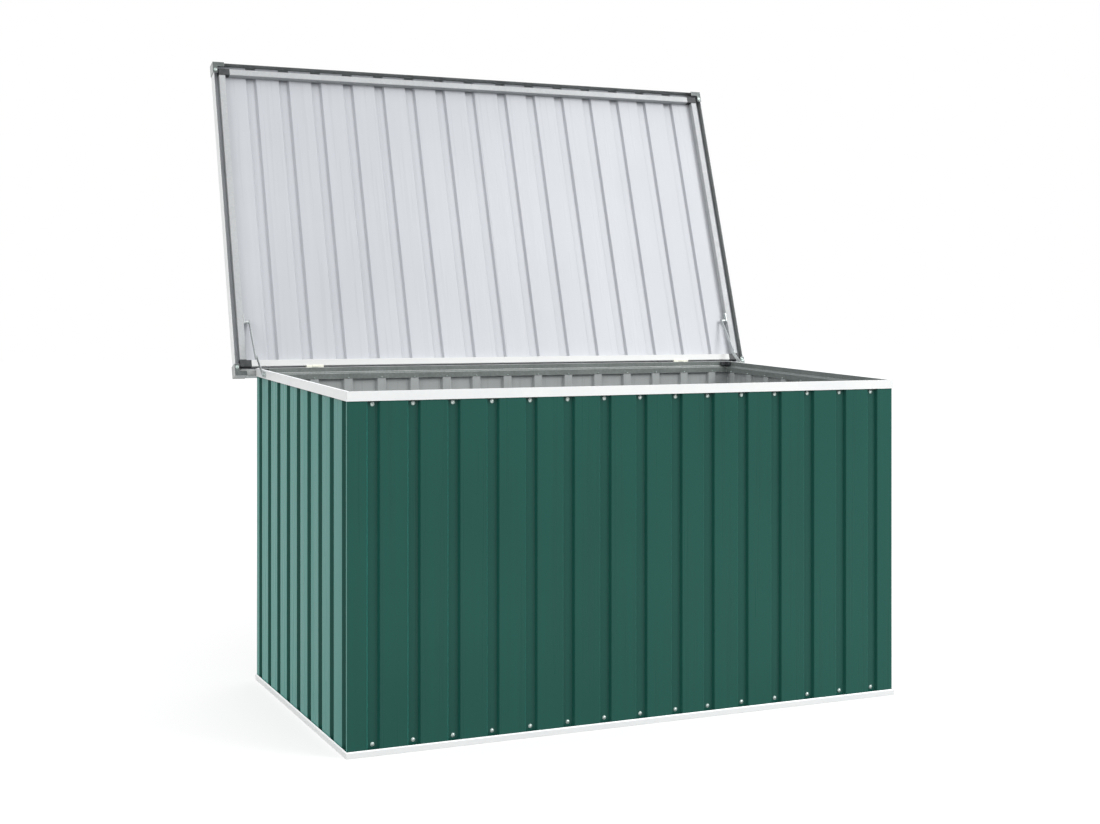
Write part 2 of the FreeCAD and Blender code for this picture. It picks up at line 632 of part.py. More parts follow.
half_hinge = HINGE_WIDTH / 2
outer_spans = ((-half_hinge, -half_hinge + knuckle), (half_hinge - knuckle, half_hinge))
middle_span = ((-knuckle / 2, knuckle / 2),)
for name, sign in SIGNS.items():
    x = sign * HINGE_X
    rail_face = WALL_Y + RAIL_FACE
    rail_leaf = hinge_leaf(x, outer_spans, rail_face, rail_face + LEAF, PIN_Y, PIN_Z,
                           PIN_Z - KNUCKLE_SWEEP, RIM_BACK - LEAF_DROP)
    nodes[name + "_hinge_rail_leaf"] = drilled(rail_leaf, SMALL_HOLE, rail_fitting_places)
    lid_leaf = hinge_leaf(x, middle_span, REAR_TUBE_REAR, REAR_TUBE_REAR + LEAF, 0, 0,
                          KNUCKLE_SWEEP, TUBE_LOW + LEAF_RISE)
    nodes[name + "_hinge_lid_leaf"] = swung(drilled(lid_leaf, SMALL_HOLE, lid_fitting_places))
    nodes[name + "_hinge_pin"] = rod(PIN_RADIUS, x - half_hinge, x + half_hinge, PIN_Y, PIN_Z)

# Stays: a bracket on each side rail, a lower link, an elbow, an upper link and a lid bracket
turn = math.radians(LID_OPEN)
lid_pivot_y = PIN_Y - STAY_UP_LID * math.cos(turn) + STAY_ABOVE_PIN * math.sin(turn)
lid_pivot_z = PIN_Z + STAY_UP_LID * math.sin(turn) + STAY_ABOVE_PIN * math.cos(turn)
span_y = lid_pivot_y - STAY_Y
span_z = lid_pivot_z - STAY_Z
span = math.hypot(span_y, span_z)
along_span = math.sqrt(LOWER_LINK ** 2 - ELBOW_OFFSET ** 2)
UPPER_LINK = math.hypot(span - along_span, ELBOW_OFFSET)
ELBOW_Y = STAY_Y + (along_span * span_y + ELBOW_OFFSET * span_z) / span
ELBOW_Z = STAY_Z + (along_span * span_z - ELBOW_OFFSET * span_y) / span

lower_in = RAIL_X + BRACKET + LINK_GAP
lower_out = lower_in + LINK
upper_in = lower_out + ELBOW_ROOM
upper_out = upper_in + LINK


def flat_link(x0, x1, start, end):
    """Flat bar with many-sided ends about two pivots."""
    along = end - start
    along.normalize()
    aside = ACROSS.cross(along) * (LINK_WIDTH / 2)
    tip = along * (LINK_WIDTH / 2)
    corners = []
    for centre, way in ((end, 1), (start, -1)):
        for k in range(LINK_END_SIDES + 1):
            angle = math.pi * k / LINK_END_SIDES
            corners.append(centre + (aside * math.cos(angle) + tip * math.sin(angle)) * way)
    return prism([c + ACROSS * min(x0, x1) for c in corners], ACROSS * abs(x1 - x0))


def stud(sign, root, link_far, y, z):
    """Riveted pivot from a bracket, through a link, with its head beyond."""
    step = 1 if link_far > root else -1
    neck = link_far + step * ELBOW_CLEAR
    shaft = rod(STUD_RADIUS, sign * root, sign * neck, y, z)
    return shaft.fuse(sided_bar(STUD_HEAD_RADIUS, HEAD_SIDES, sign * neck, sign * (neck + step * STUD_HEAD), y, z))


for name, sign in SIGNS.items():
    pivot = V(0, STAY_Y, STAY_Z)
    elbow = V(0, ELBOW_Y, ELBOW_Z)
    lid_pivot = V(0, lid_pivot_y, lid_pivot_z)
    plate = box(sign * RAIL_X, sign * (RAIL_X + BRACKET), STAY_Y - BRACKET_TAIL, STAY_Y + BRACKET_NOSE,
                STAY_Z - BRACKET_HEIGHT / 2, STAY_Z + BRACKET_HEIGHT / 2)
    plate = drilled(plate, SMALL_HOLE, rail_fitting_places)
    post = stud(sign, RAIL_X + BRACKET, lower_out, STAY_Y, STAY_Z)
    nodes[name + "_stay_rail_bracket"] = plate.fuse(post)

    lower = flat_link(sign * lower_in, sign * lower_out, pivot, elbow)
    bore = rod(STUD_RADIUS + RUNNING_CLEAR, sign * lower_in, sign * lower_out, STAY_Y, STAY_Z)
    nodes[name + "_stay_lower_link"] = lower.cut(bore)

    upper = flat_link(sign * upper_in, sign * upper_out, elbow, lid_pivot)
    bore = rod(STUD_RADIUS + RUNNING_CLEAR, sign * upper_in, sign * upper_out, lid_pivot_y, lid_pivot_z)
    rivet = sided_bar(STUD_HEAD_RADIUS, HEAD_SIDES, sign * (lower_out + ELBOW_CLEAR), sign * upper_in,
                      ELBOW_Y, ELBOW_Z)
    nodes[name + "_stay_upper_link"] = upper.cut(bore).fuse(rivet)

    lid_plate = box(sign * (SIDE_TUBE_IN - BRACKET), sign * SIDE_TUBE_IN,
                    -STAY_UP_LID - BRACKET_TAIL, -STAY_UP_LID + BRACKET_NOSE,
                    STAY_ABOVE_PIN - BRACKET_HEIGHT / 2, STAY_ABOVE_PIN + BRACKET_HEIGHT / 2)
    lid_plate = drilled(lid_plate, SMALL_HOLE, lid_fitting_places)
    spacer = sided_bar(STUD_HEAD_RADIUS, HEAD_SIDES, sign * (SIDE_TUBE_IN - BRACKET),
                       sign * (upper_out + LINK_GAP), -STAY_UP_LID, STAY_ABOVE_PIN)
    lid_post = stud(sign, SIDE_TUBE_IN - BRACKET, upper_in, -STAY_UP_LID, STAY_ABOVE_PIN)
    nodes[name + "_stay_lid_bracket"] = swung(lid_plate.fuse([spacer, lid_post]))

nodes["rail_fitting_screws"] = Part.makeCompound(set_in(SMALL_SCREW, rail_fitting_places))
nodes["lid_fitting_screws"] = swung(Part.makeCompound(set_in(SMALL_SCREW, lid_fitting_places)))

os.makedirs("parts", exist_ok=True)
for name, shape in nodes.items():
    shape.exportStep("parts/" + name + ".step")
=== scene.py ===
import json
import math
import bmesh
import bpy
from mathutils import Matrix, Vector


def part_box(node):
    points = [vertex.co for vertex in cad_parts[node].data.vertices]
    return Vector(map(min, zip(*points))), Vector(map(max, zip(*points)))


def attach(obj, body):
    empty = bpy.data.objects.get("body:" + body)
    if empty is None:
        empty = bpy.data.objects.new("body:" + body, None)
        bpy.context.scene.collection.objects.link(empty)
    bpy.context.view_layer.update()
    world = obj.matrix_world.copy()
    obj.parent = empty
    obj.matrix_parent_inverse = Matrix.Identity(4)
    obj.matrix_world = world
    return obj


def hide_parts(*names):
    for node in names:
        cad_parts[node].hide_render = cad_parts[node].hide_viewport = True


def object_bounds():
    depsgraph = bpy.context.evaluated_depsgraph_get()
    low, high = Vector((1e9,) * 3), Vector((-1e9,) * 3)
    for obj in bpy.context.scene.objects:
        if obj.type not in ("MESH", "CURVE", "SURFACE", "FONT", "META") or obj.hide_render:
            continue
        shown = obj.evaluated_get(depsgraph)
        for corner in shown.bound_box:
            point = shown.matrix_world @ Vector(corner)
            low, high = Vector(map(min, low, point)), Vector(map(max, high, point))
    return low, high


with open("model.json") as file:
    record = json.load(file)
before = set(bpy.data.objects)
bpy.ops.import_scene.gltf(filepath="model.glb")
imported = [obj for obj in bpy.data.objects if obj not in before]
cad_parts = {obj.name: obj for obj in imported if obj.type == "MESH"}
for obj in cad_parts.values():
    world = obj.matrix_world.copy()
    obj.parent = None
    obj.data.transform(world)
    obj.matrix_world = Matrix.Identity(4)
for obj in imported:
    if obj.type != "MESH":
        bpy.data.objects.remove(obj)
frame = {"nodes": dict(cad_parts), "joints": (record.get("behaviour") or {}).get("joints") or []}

cad_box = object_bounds()

# Foot rails: four channels folded from zinc-coated steel strip and mitred at the corners.
# The outer face and its leaning lip have a white coat, and the flange behind the walls is
# bare zinc. They stand on the ground and the wall screws go into their flanges.
SIDES = {"front": (0, -1, 0), "back": (0, 1, 0), "left": (-1, 0, 0), "right": (1, 0, 0)}
UPWARD = (0, 0, 1)
RAIL_WHITE = (0.94, 0.955, 0.955, 1)
RAIL_WHITE_DULL = (0.88, 0.90, 0.905, 1)
RAIL_MOTTLE = 90.0
RAIL_MOTTLE_SHARE = 0.4
RAIL_CLOUDS = 5.0
RAIL_DULLING = (0.45, 0.85)
RAIL_GRAIN = 900.0
RAIL_ROUGHNESS = (0.28, 0.42)
RAIL_RELIEF = (0.08, 0.0002)
TURNED_OUT = (0.25, 0.35)
TURNED_UP = (0.93, 0.97)
# Bare zinc of the rails: grey zinc with a green tint that is a painted reflection of the green coat.
ZINC_DARK_GREEN_REFLECTED = (0.140, 0.162, 0.155, 1)
ZINC_LIGHT_GREEN_REFLECTED = (0.215, 0.242, 0.233, 1)
ZINC_CRYSTALS = 210.0
CRYSTAL_SHARE = 0.45
ZINC_CLOUDS = 9.0
ZINC_SPAN = (0.35, 1.05)
INNER_METALLIC = 0.2
RAIL_WORN = (0.66, 0.68, 0.68, 1)
RAIL_EDGE_METALLIC = 0.1
EDGE_RUBS = 260.0
EDGE_RUB_SHARE = 0.5
EDGE_PATCHES = 22.0
EDGE_SPAN = (0.55, 0.95)
EDGE_ROUGHNESS = (0.26, 0.42)
RAIL_EDGE = 0.0003
EDGE_SEGMENTS = 2
EDGE_ANGLE = math.radians(25)
FLAT_ANGLE = math.radians(0.5)
FACE_WEIGHT = 100
SAME_PLACE = 1e-5


def add(tree, kind, sockets=None, **fields):
    """New shader node; a socket takes a plain value or the output that is linked to it."""
    made = tree.nodes.new(kind)
    for name, value in fields.items():
        setattr(made, name, value)
    for name, value in (sockets or {}).items():
        if isinstance(value, bpy.types.NodeSocket):
            tree.links.new(value, made.inputs[name])
        else:
            made.inputs[name].default_value = value
    return made


def new_material(name):
    """Material with its node tree, its main shader and the piece's own coordinates."""
    material = bpy.data.materials.new(name)
    material.use_nodes = True
    tree = material.node_tree
    place = add(tree, "ShaderNodeTexCoord").outputs
    return material, tree, tree.nodes["Principled BSDF"], place


def set_surface(tree, shader, colour, roughness, relief):
    """Colour, roughness and relief of a surface, each from its own nodes."""
    tree.links.new(colour, shader.inputs["Base Color"])
    tree.links.new(roughness, shader.inputs["Roughness"])
    tree.links.new(relief, shader.inputs["Normal"])


def noise(tree, place, scale, stretch=(1, 1, 1), detail=3.0):
    """Even grain of about 1/scale metres, drawn out along an axis where its stretch is below 1."""
    spread = add(tree, "ShaderNodeMapping", {"Vector": place["Object"], "Scale": stretch}).outputs[0]
    grain = {"Vector": spread, "Scale": scale, "Detail": detail}
    return add(tree, "ShaderNodeTexNoise", grain).outputs["Fac"]


def between(tree, value, low, high, start=0.0, end=1.0):
    """Value moved from the range start to end into the range low to high."""
    sockets = {"Value": value, "From Min": start, "From Max": end, "To Min": low, "To Max": high}
    return add(tree, "ShaderNodeMapRange", sockets).outputs["Result"]


def ramp(tree, value, start, end):
    """0 up to the start, 1 from the end on."""
    return between(tree, value, 0.0, 1.0, start, end)


def sum_of(tree, first, share, second):
    """The first value times a share, plus the second."""
    return add(tree, "ShaderNodeMath", {0: first, 1: share, 2: second}, operation="MULTIPLY_ADD").outputs[0]


def larger(tree, first, second):
    """The larger of two values."""
    return add(tree, "ShaderNodeMath", {0: first, 1: second}, operation="MAXIMUM").outputs[0]


def blend_colours(tree, share, first, second):
    """Mix of two colours: a share of 0 gives the first, 1 the second.

    The sockets go by number, because a Mix node has several of each name.
    """
    return add(tree, "ShaderNodeMix", {0: share, 6: first, 7: second}, data_type="RGBA").outputs[2]


def facing(tree, place, direction, start, end):
    """1 on faces that are turned to the direction, 0 on those turned away."""
    lean = add(tree, "ShaderNodeVectorMath", {0: place["Normal"], 1: direction}, operation="DOT_PRODUCT")
    return ramp(tree, lean.outputs["Value"], start, end)


def bumped(tree, height, strength, depth, under=None):
    """Relief from a height pattern, laid over another relief if one is given."""
    sockets = {"Height": height, "Strength": strength, "Distance": depth}
    if under is not None:
        sockets["Normal"] = under
    return add(tree, "ShaderNodeBump", sockets).outputs[0]


def zinc_tone(tree, place, dark, light):
    """Colour of hot-dip zinc: small flat crystals of slightly different greys in cloudy patches."""
    crystals = add(tree, "ShaderNodeTexVoronoi", {"Vector": place["Object"], "Scale": ZINC_CRYSTALS})
    grey = add(tree, "ShaderNodeSeparateColor", {"Color": crystals.outputs["Color"]}).outputs[0]
    share = sum_of(tree, grey, CRYSTAL_SHARE, noise(tree, place, ZINC_CLOUDS))
    return blend_colours(tree, ramp(tree, share, *ZINC_SPAN), dark, light)


def rail_material(name, outward, top, dark, light):
    """White coat on the faces turned outward or to the top, bare zinc on the rest."""
    material, tree, shader, place = new_material(name)
    mottle = noise(tree, place, RAIL_MOTTLE)
    dulling = sum_of(tree, mottle, RAIL_MOTTLE_SHARE, noise(tree, place, RAIL_CLOUDS))
    white = blend_colours(tree, ramp(tree, dulling, *RAIL_DULLING), RAIL_WHITE_DULL, RAIL_WHITE)
    bare = zinc_tone(tree, place, dark, light)
    turned_out = facing(tree, place, outward, *TURNED_OUT)
    outside = larger(tree, turned_out, facing(tree, place, top, *TURNED_UP))
    tree.links.new(between(tree, outside, INNER_METALLIC, 0.0), shader.inputs["Metallic"])
    grain = noise(tree, place, RAIL_GRAIN)
    colour = blend_colours(tree, outside, bare, white)
    roughness = between(tree, grain, *RAIL_ROUGHNESS)
    set_surface(tree, shader, colour, roughness, bumped(tree, grain, *RAIL_RELIEF))
    return material


def worn_edge(name, worn, fresh, metallic):
    """Rubbed fold or cut edge, where the finish is thin in places."""
    material, tree, shader, place = new_material(name)
    rubs = sum_of(tree, noise(tree, place, EDGE_RUBS), EDGE_RUB_SHARE, noise(tree, place, EDGE_PATCHES))
    share = ramp(tree, rubs, *EDGE_SPAN)
    shader.inputs["Metallic"].default_value = metallic
    tree.links.new(blend_colours(tree, share, worn, fresh), shader.inputs["Base Color"])
    tree.links.new(between(tree, share, *EDGE_ROUGHNESS), shader.inputs["Roughness"])
    return material


def dress(name, *materials):
    """CAD node that keeps its own shape and gets these materials."""
    slots = frame["nodes"][name].data.materials
    slots.clear()
    for material in materials:
        slots.append(material)


def ease_edges(name, width):
    """Small round on a CAD node's folds and cut edges, which takes the node's last material."""
    piece = frame["nodes"][name]
    piece.modifiers.new("joined", "WELD").merge_threshold = SAME_PLACE
    flats = piece.modifiers.new("flats", "DECIMATE")
    flats.decimate_type = "DISSOLVE"
    flats.angle_limit = FLAT_ANGLE
    edge = piece.modifiers.new("edge", "BEVEL")
    edge.width = width
    edge.segments = EDGE_SEGMENTS
    edge.limit_method = "ANGLE"
    edge.angle_limit = EDGE_ANGLE
    edge.material = len(piece.data.materials) - 1
    piece.modifiers.new("shading", "WEIGHTED_NORMAL").weight = FACE_WEIGHT


rail_edge = worn_edge("rail_edge", RAIL_WORN, RAIL_WHITE, RAIL_EDGE_METALLIC)
for side, outward in SIDES.items():
    coat = rail_material("foot_rail_" + side, outward, UPWARD, ZINC_DARK_GREEN_REFLECTED, ZINC_LIGHT_GREEN_REFLECTED)
    dress(side + "_foot_rail", coat, rail_edge)
    ease_edges(side + "_foot_rail", RAIL_EDGE)

# Wall sheets: roll-formed steel, ribbed by grooves with small round folds, coil-coated green
# outside and pale grey inside. Front and back have two sheets that lap on one flat and fold
# round the corners; each side has one. They stand in the foot rails, screwed in every groove.
WALL_GREEN = (0.0125, 0.090, 0.0695, 1)
WALL_GREEN_DEEP = (0.0095, 0.076, 0.0585, 1)
WALL_GREY = (0.34, 0.36, 0.36, 1)
WALL_GREY_LIGHT = (0.41, 0.43, 0.43, 1)
ALONG_WALL = (1, 1, 0.02)
COAT_STREAKS = 55.0
COAT_STREAK_SHARE = 0.5
COAT_CLOUDS = 2.2
COAT_SPAN = (0.45, 1.05)
COAT_WAVES = 6.0
WAVE_DETAIL = 1.0
WAVE_RELIEF = (0.25, 0.002)
COAT_PEEL = 700.0
PEEL_RELIEF = (0.06, 0.0002)
COAT_ROUGHNESS = (0.24, 0.36)
NOISE_SPAN = (0.3, 0.7)
GREY_GLOSS = 0.28
GREEN_GLOSS = 0.21
GREEN_SHEEN = 0.63
GREEN_SHEEN_ROUGHNESS = 0.4
GREEN_SHEEN_TINT = (0.15, 1.0, 0.88, 1)
UP_THE_WALL = 2
SHEET = 0.0005
FOLD_RADIUS = 0.0018
FOLD_STEPS = 4
LEAST_FOLD = math.radians(10)
SHORTEST_FLAT = 0.0030
SAME_POINT = 1e-6
OUTSIDE_TURN = 0.15
FOLDED_TURN = 0.95
SMOOTH_ANGLE = math.radians(35)


def sheet_coat(name, along, deep, light, gloss):
    """Coil coat with faint streaks along the rolling, fine orange peel and soft waves."""
    material, tree, shader, place = new_material(name)
    streaks = noise(tree, place, COAT_STREAKS, along)
    tone = sum_of(tree, streaks, COAT_STREAK_SHARE, noise(tree, place, COAT_CLOUDS))
    colour = blend_colours(tree, ramp(tree, tone, *COAT_SPAN), deep, light)
    waves = bumped(tree, noise(tree, place, COAT_WAVES, along, WAVE_DETAIL), *WAVE_RELIEF)
    peel = bumped(tree, noise(tree, place, COAT_PEEL), *PEEL_RELIEF, waves)
    shader.inputs["Specular IOR Level"].default_value = gloss
    set_surface(tree, shader, colour, between(tree, streaks, *COAT_ROUGHNESS, *NOISE_SPAN), peel)
    return material


def green_coat(name, along):
    """Green outside coat, which looks paler at a low angle."""
    material = sheet_coat(name, along, WALL_GREEN_DEEP, WALL_GREEN, GREEN_GLOSS)
    sockets = material.node_tree.nodes["Principled BSDF"].inputs
    sockets["Sheen Weight"].default_value = GREEN_SHEEN
    sockets["Sheen Roughness"].default_value = GREEN_SHEEN_ROUGHNESS
    sockets["Sheen Tint"].default_value = GREEN_SHEEN_TINT
    return material


def skin(mesh, rings):
    """Faces between each ring and the next, which have as many points."""
    for below, above in zip(rings, rings[1:]):
        for k in range(len(below)):
            mesh.faces.new((below[k], below[k - 1], above[k - 1], above[k]))


def closed_skin(mesh, rings):
    """Faces between the rings, with a face over the first and the last."""
    skin(mesh, rings)
    mesh.faces.new(rings[0])
    mesh.faces.new(rings[-1][::-1])


def new_piece(name, mesh, materials, body, slot, *nodes):
    """Finished mesh as a piece that rides on a body and stands for CAD nodes."""
    bmesh.ops.recalc_face_normals(mesh, faces=mesh.faces[:])
    data = bpy.data.meshes.new(name)
    mesh.to_mesh(data)
    mesh.free()
    for material in materials:
        data.materials.append(material)
    data.polygons.foreach_set("use_smooth", [True] * len(data.polygons))
    data.set_sharp_from_angle(angle=SMOOTH_ANGLE)
    piece = bpy.data.objects.new(name, data)
    bpy.context.scene.collection.objects.link(piece)
    piece.modifiers.new("shading", "WEIGHTED_NORMAL").keep_sharp = True
    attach(piece, body)
    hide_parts(*nodes)


def end_outline(mesh, run):
    """Vertices round the lower end of a CAD sheet, in order."""
    low = min(vert.co[run] for vert in mesh.verts)

    def at_end(item):
        return all(vert.co[run] < low + SAME_PLACE for vert in item.verts)

    neighbours = {}
    for edge in mesh.edges:
        if at_end(edge) and sum(at_end(face) for face in edge.link_faces) == 1:
            for vert in edge.verts:
                neighbours.setdefault(vert, []).append(edge.other_vert(vert))
    first = next(iter(neighbours))
    outline = [first, neighbours[first][0]]
    while True:
        ahead = next(vert for vert in neighbours[outline[-1]] if vert is not outline[-2])
        if ahead is first:
            return outline
        outline.append(ahead)


def round_fold(before, corner, after, clockwise):
    """Arc in place of a fold's corner, with the larger radius on the outside of the fold."""
    back = before - corner
    ahead = after - corner
    if min(back.length, ahead.length) < SHORTEST_FLAT:
        return [corner]
    back.normalize()
    ahead.normalize()
    turn = (-back).angle_signed(ahead)
    if abs(turn) < LEAST_FOLD:
        return [corner]
    radius = FOLD_RADIUS + (SHEET if (turn > 0) == clockwise else 0)
    centre = corner + (back + ahead).normalized() * radius / math.cos(turn / 2)
    first = corner + back * radius * math.tan(abs(turn) / 2) - centre
    return [centre + Matrix.Rotation(-turn * k / FOLD_STEPS, 2) @ first for k in range(FOLD_STEPS + 1)]


def ribbed_sheet(name, body, place, run, outward, fold, coats, slot):
    """Sheet with round folds and a coat on each side, in place of a CAD sheet.

    The run is the axis along the ribs, and fold the direction that a folded corner faces.
    """
    source = bmesh.new()
    source.from_mesh(frame["nodes"][name].data)
    bmesh.ops.remove_doubles(source, verts=source.verts[:], dist=SAME_POINT)
    bmesh.ops.transform(source, matrix=place.inverted(), verts=source.verts[:])
    across = [k for k in range(3) if k != run]
    outline = end_outline(source, run)
    flat = [Vector((vert.co[across[0]], vert.co[across[1]])) for vert in outline]
    turning = sum(a.x * b.y - b.x * a.y for a, b in zip(flat, flat[1:] + flat[:1]))
    mesh = bmesh.new()
    ends = [[], []]
    for k, vert in enumerate(outline):
        above = [v.co for v in source.verts if all(abs(v.co[j] - vert.co[j]) < SAME_PLACE for j in across)]
        high = max(spot[run] for spot in above)
        for point in round_fold(flat[k - 1], flat[k], flat[(k + 1) % len(flat)], turning < 0):
            for end, level in zip(ends, (vert.co[run], high)):
                spot = Vector((level, level, level))
                spot[across[0]] = point.x
                spot[across[1]] = point.y
                end.append(mesh.verts.new(place @ spot))
    source.free()
    closed_skin(mesh, ends)
    bmesh.ops.recalc_face_normals(mesh, faces=mesh.faces[:])
    for face in mesh.faces:
        turned_out = face.normal.dot(Vector(outward)) > OUTSIDE_TURN
        folded_out = face.normal.dot(Vector(fold)) > FOLDED_TURN
        face.material_index = 0 if turned_out or folded_out else 1
    new_piece(name + "_rolled", mesh, coats, body, slot, name)


wall_grey = sheet_coat("wall_grey", ALONG_WALL, WALL_GREY, WALL_GREY_LIGHT, GREY_GLOSS)
wall_coats = (green_coat("wall_green", ALONG_WALL), wall_grey)
wall_sheets = {}
for side in ("front", "back"):
    for half in ("left", "right"):
        wall_sheets[side + "_wall_" + half + "_sheet"] = (SIDES[side], SIDES[half])
for side in ("left", "right"):
    wall_sheets[side + "_wall_sheet"] = (SIDES[side], SIDES[side])
for name, (outward, fold) in wall_sheets.items():
    ribbed_sheet(name, "box", Matrix(), UP_THE_WALL, outward, fold, wall_coats, "wall_green")

# Top rails: folded strip over the upper edge of the walls, mitred at the corners. The face
# and the narrow top are white, the band and the flange inside are bare zinc. Moulded dark
# blocks sit in the corners, behind the bands, and keep the rails square.
PLASTIC = (0.030, 0.034, 0.036, 1)
PLASTIC_WORN = (0.062, 0.067, 0.070, 1)
PLASTIC_GRAIN = 1300.0
PLASTIC_SCUFFS = 60.0
SCUFF_SPAN = (0.45, 0.75)
PLASTIC_ROUGHNESS = (0.42, 0.62)
PLASTIC_RELIEF = (0.25, 0.0003)
BLOCK_EDGE = 0.0009


def moulded_plastic(name):
    """Dark moulded plastic with a fine spark-eroded grain and pale scuffs."""
    material, tree, shader, place = new_material(name)
    grain = noise(tree, place, PLASTIC_GRAIN)
    scuffs = ramp(tree, noise(tree, place, PLASTIC_SCUFFS), *SCUFF_SPAN)
    colour = blend_colours(tree, scuffs, PLASTIC, PLASTIC_WORN)
    roughness = between(tree, grain, *PLASTIC_ROUGHNESS)
    set_surface(tree, shader, colour, roughness, bumped(tree, grain, *PLASTIC_RELIEF))
    return material


for side, outward in SIDES.items():
    coat = rail_material("top_rail_" + side, outward, UPWARD, ZINC_DARK_GREEN_REFLECTED, ZINC_LIGHT_GREEN_REFLECTED)
    dress(side + "_top_rail", coat, rail_edge)
    ease_edges(side + "_top_rail", RAIL_EDGE)
plastic = moulded_plastic("moulded_plastic")
for end in ("front", "back"):
    for side in ("left", "right"):
        dress(end + "_" + side + "_rim_block", plastic)
        ease_edges(end + "_" + side + "_rim_block", BLOCK_EDGE)

# Floor sheets: two thin flat sheets of bare zinc-coated steel that lie on the ground inside
# the foot rails and lap in the middle.
FLOOR_ZINC = (0.30, 0.32, 0.32, 1)
FLOOR_ZINC_LIGHT = (0.46, 0.48, 0.48, 1)
FLOOR_METALLIC = 0.7
ZINC_DULL_SPOTS = 30.0
ZINC_ROUGHNESS = (0.32, 0.48)
ZINC_GRAIN = 600.0
ZINC_RELIEF = (0.05, 0.0002)


def set_zinc(tree, shader, place, colour, metallic):
    """Satin zinc of a given colour, with dull spots and a fine grain."""
    shader.inputs["Metallic"].default_value = metallic
    roughness = between(tree, noise(tree, place, ZINC_DULL_SPOTS), *ZINC_ROUGHNESS, *NOISE_SPAN)
    relief = bumped(tree, noise(tree, place, ZINC_GRAIN), *ZINC_RELIEF)
    set_surface(tree, shader, colour, roughness, relief)


floor_zinc, tree, shader, place = new_material("floor_zinc")
set_zinc(tree, shader, place, zinc_tone(tree, place, FLOOR_ZINC, FLOOR_ZINC_LIGHT), FLOOR_METALLIC)
for half in ("left", "right"):
    dress("floor_" + half + "_sheet", floor_zinc)

# Wall screws: zinc-plated pan-head screws with a thin washer and a thread that comes out
# inside the flange, one in every groove floor in a row along the top rail and a row along
# the foot rail. Each wall's screws are one group.
# Screw steel: grey zinc plating with a green tint that is a painted reflection of the green walls round the
# heads.
SCREW_STEEL_GREEN_REFLECTED_DARK = (0.43, 0.50, 0.48, 1)
SCREW_STEEL_GREEN_REFLECTED_LIGHT = (0.63, 0.72, 0.69, 1)
PLATING_METALLIC = 0.8
PLATING_SPOTS = 160.0
PLATING_ROUGHNESS = (0.42, 0.24)
TURNING_MARKS = 1500.0
TURNING_RELIEF = (0.12, 0.0002)
WALL_HEAD = dict(radius=0.0041, height=0.0026, washer_radius=0.0052, washer=0.0008)
HEAD_TURNS = 20
HEAD_SIDE = 0.35
WASHER_CHAMFER = 0.25
CROWN_ANGLE = math.radians(62)
CROWN_RINGS = (0.75, 0.5, 0.28)
RECESS_ARMS = 4
RECESS_REACH = 0.92
RECESS_WAIST = 0.34
RECESS_TAPER = 0.7
RECESS_DEPTH = 0.45
POINT_TURNS = 10
POINT_START = 0.0015
POINT_LENGTH = 0.0070
POINT_RADIUS = 0.0018
THREAD = (0.7, 1.0, 0.7, 0.9, 0.55, 0.6, 0.25, 0.05)
SAME_WAY_DIGITS = 3


def screw_seats(name):
    """Seat and inward direction of every screw in a CAD group, read from its own faces."""
    mesh = bmesh.new()
    mesh.from_mesh(frame["nodes"][name].data)
    bmesh.ops.remove_doubles(mesh, verts=mesh.verts[:], dist=SAME_POINT)
    waiting = set(mesh.faces)
    seats = []
    while waiting:
        first = min(waiting, key=lambda face: face.index)
        waiting.discard(first)
        solid = [first]
        for face in solid:
            near = {f for edge in face.edges for f in edge.link_faces if f in waiting}
            waiting -= near
            solid.extend(sorted(near, key=lambda f: f.index))
        ways = {}
        for face in solid:
            way = tuple(round(c, SAME_WAY_DIGITS) for c in face.normal)
            ways.setdefault(way, []).append(face)
        inward = max(ways, key=lambda way: sum(face.calc_area() for face in ways[way]))
        axis = Vector(inward).normalized()
        under_head = dict.fromkeys(vert for face in ways[inward] for vert in face.verts)
        depth = min(vert.co.dot(axis) for vert in under_head)
        rim = [vert.co for vert in under_head if vert.co.dot(axis) < depth + SAME_PLACE]
        seats.append((sum(rim, Vector()) / len(rim), axis))
    mesh.free()
    return seats


def ring(mesh, turns, radius, height):
    """Points of a level circle about the origin."""
    angles = [2 * math.pi * k / turns for k in range(turns)]
    return [mesh.verts.new((radius * math.cos(a), radius * math.sin(a), height)) for a in angles]


def pan_head(mesh, radius, height, washer_radius, washer):
    """Domed head with a cross recess, standing on its washer."""
    ball = radius / math.sin(CROWN_ANGLE)
    drop = ball * math.cos(CROWN_ANGLE)
    low = washer + HEAD_SIDE * height
    lift = (1 - HEAD_SIDE) * height / (ball - drop)
    chamfer = WASHER_CHAMFER * washer
    levels = [(washer_radius, 0), (washer_radius, washer - chamfer), (washer_radius - chamfer, washer)]
    levels += [(radius, washer), (radius, low)]
    for share in CROWN_RINGS:
        angle = CROWN_ANGLE * share
        levels.append((ball * math.sin(angle), low + (ball * math.cos(angle) - drop) * lift))
    rings = [ring(mesh, HEAD_TURNS, *level) for level in levels]
    skin(mesh, rings)
    mesh.faces.new(rings[0])
    top = rings[-1]
    level = top[0].co.z
    recess = []
    for k, vert in enumerate(top):
        reach = RECESS_REACH if k % (HEAD_TURNS // RECESS_ARMS) == 0 else RECESS_WAIST
        recess.append(mesh.verts.new((vert.co.x * reach, vert.co.y * reach, level)))
    sunk = level - RECESS_DEPTH * height
    bottom = [mesh.verts.new((v.co.x * RECESS_TAPER, v.co.y * RECESS_TAPER, sunk)) for v in recess]
    skin(mesh, [top, recess, bottom])
    mesh.faces.new(bottom[::-1])
    return [vert for loop in rings + [recess, bottom] for vert in loop]


def screw_end(mesh):
    """Threaded end that shows behind the flange: crests and roots, then a point."""
    pitch = (POINT_LENGTH - POINT_START) / (len(THREAD) - 1)
    rings = []
    for step, crest in enumerate(THREAD):
        rings.append(ring(mesh, POINT_TURNS, POINT_RADIUS * crest, -POINT_START - pitch * step))
    closed_skin(mesh, rings)
    return [vert for loop in rings for vert in loop]


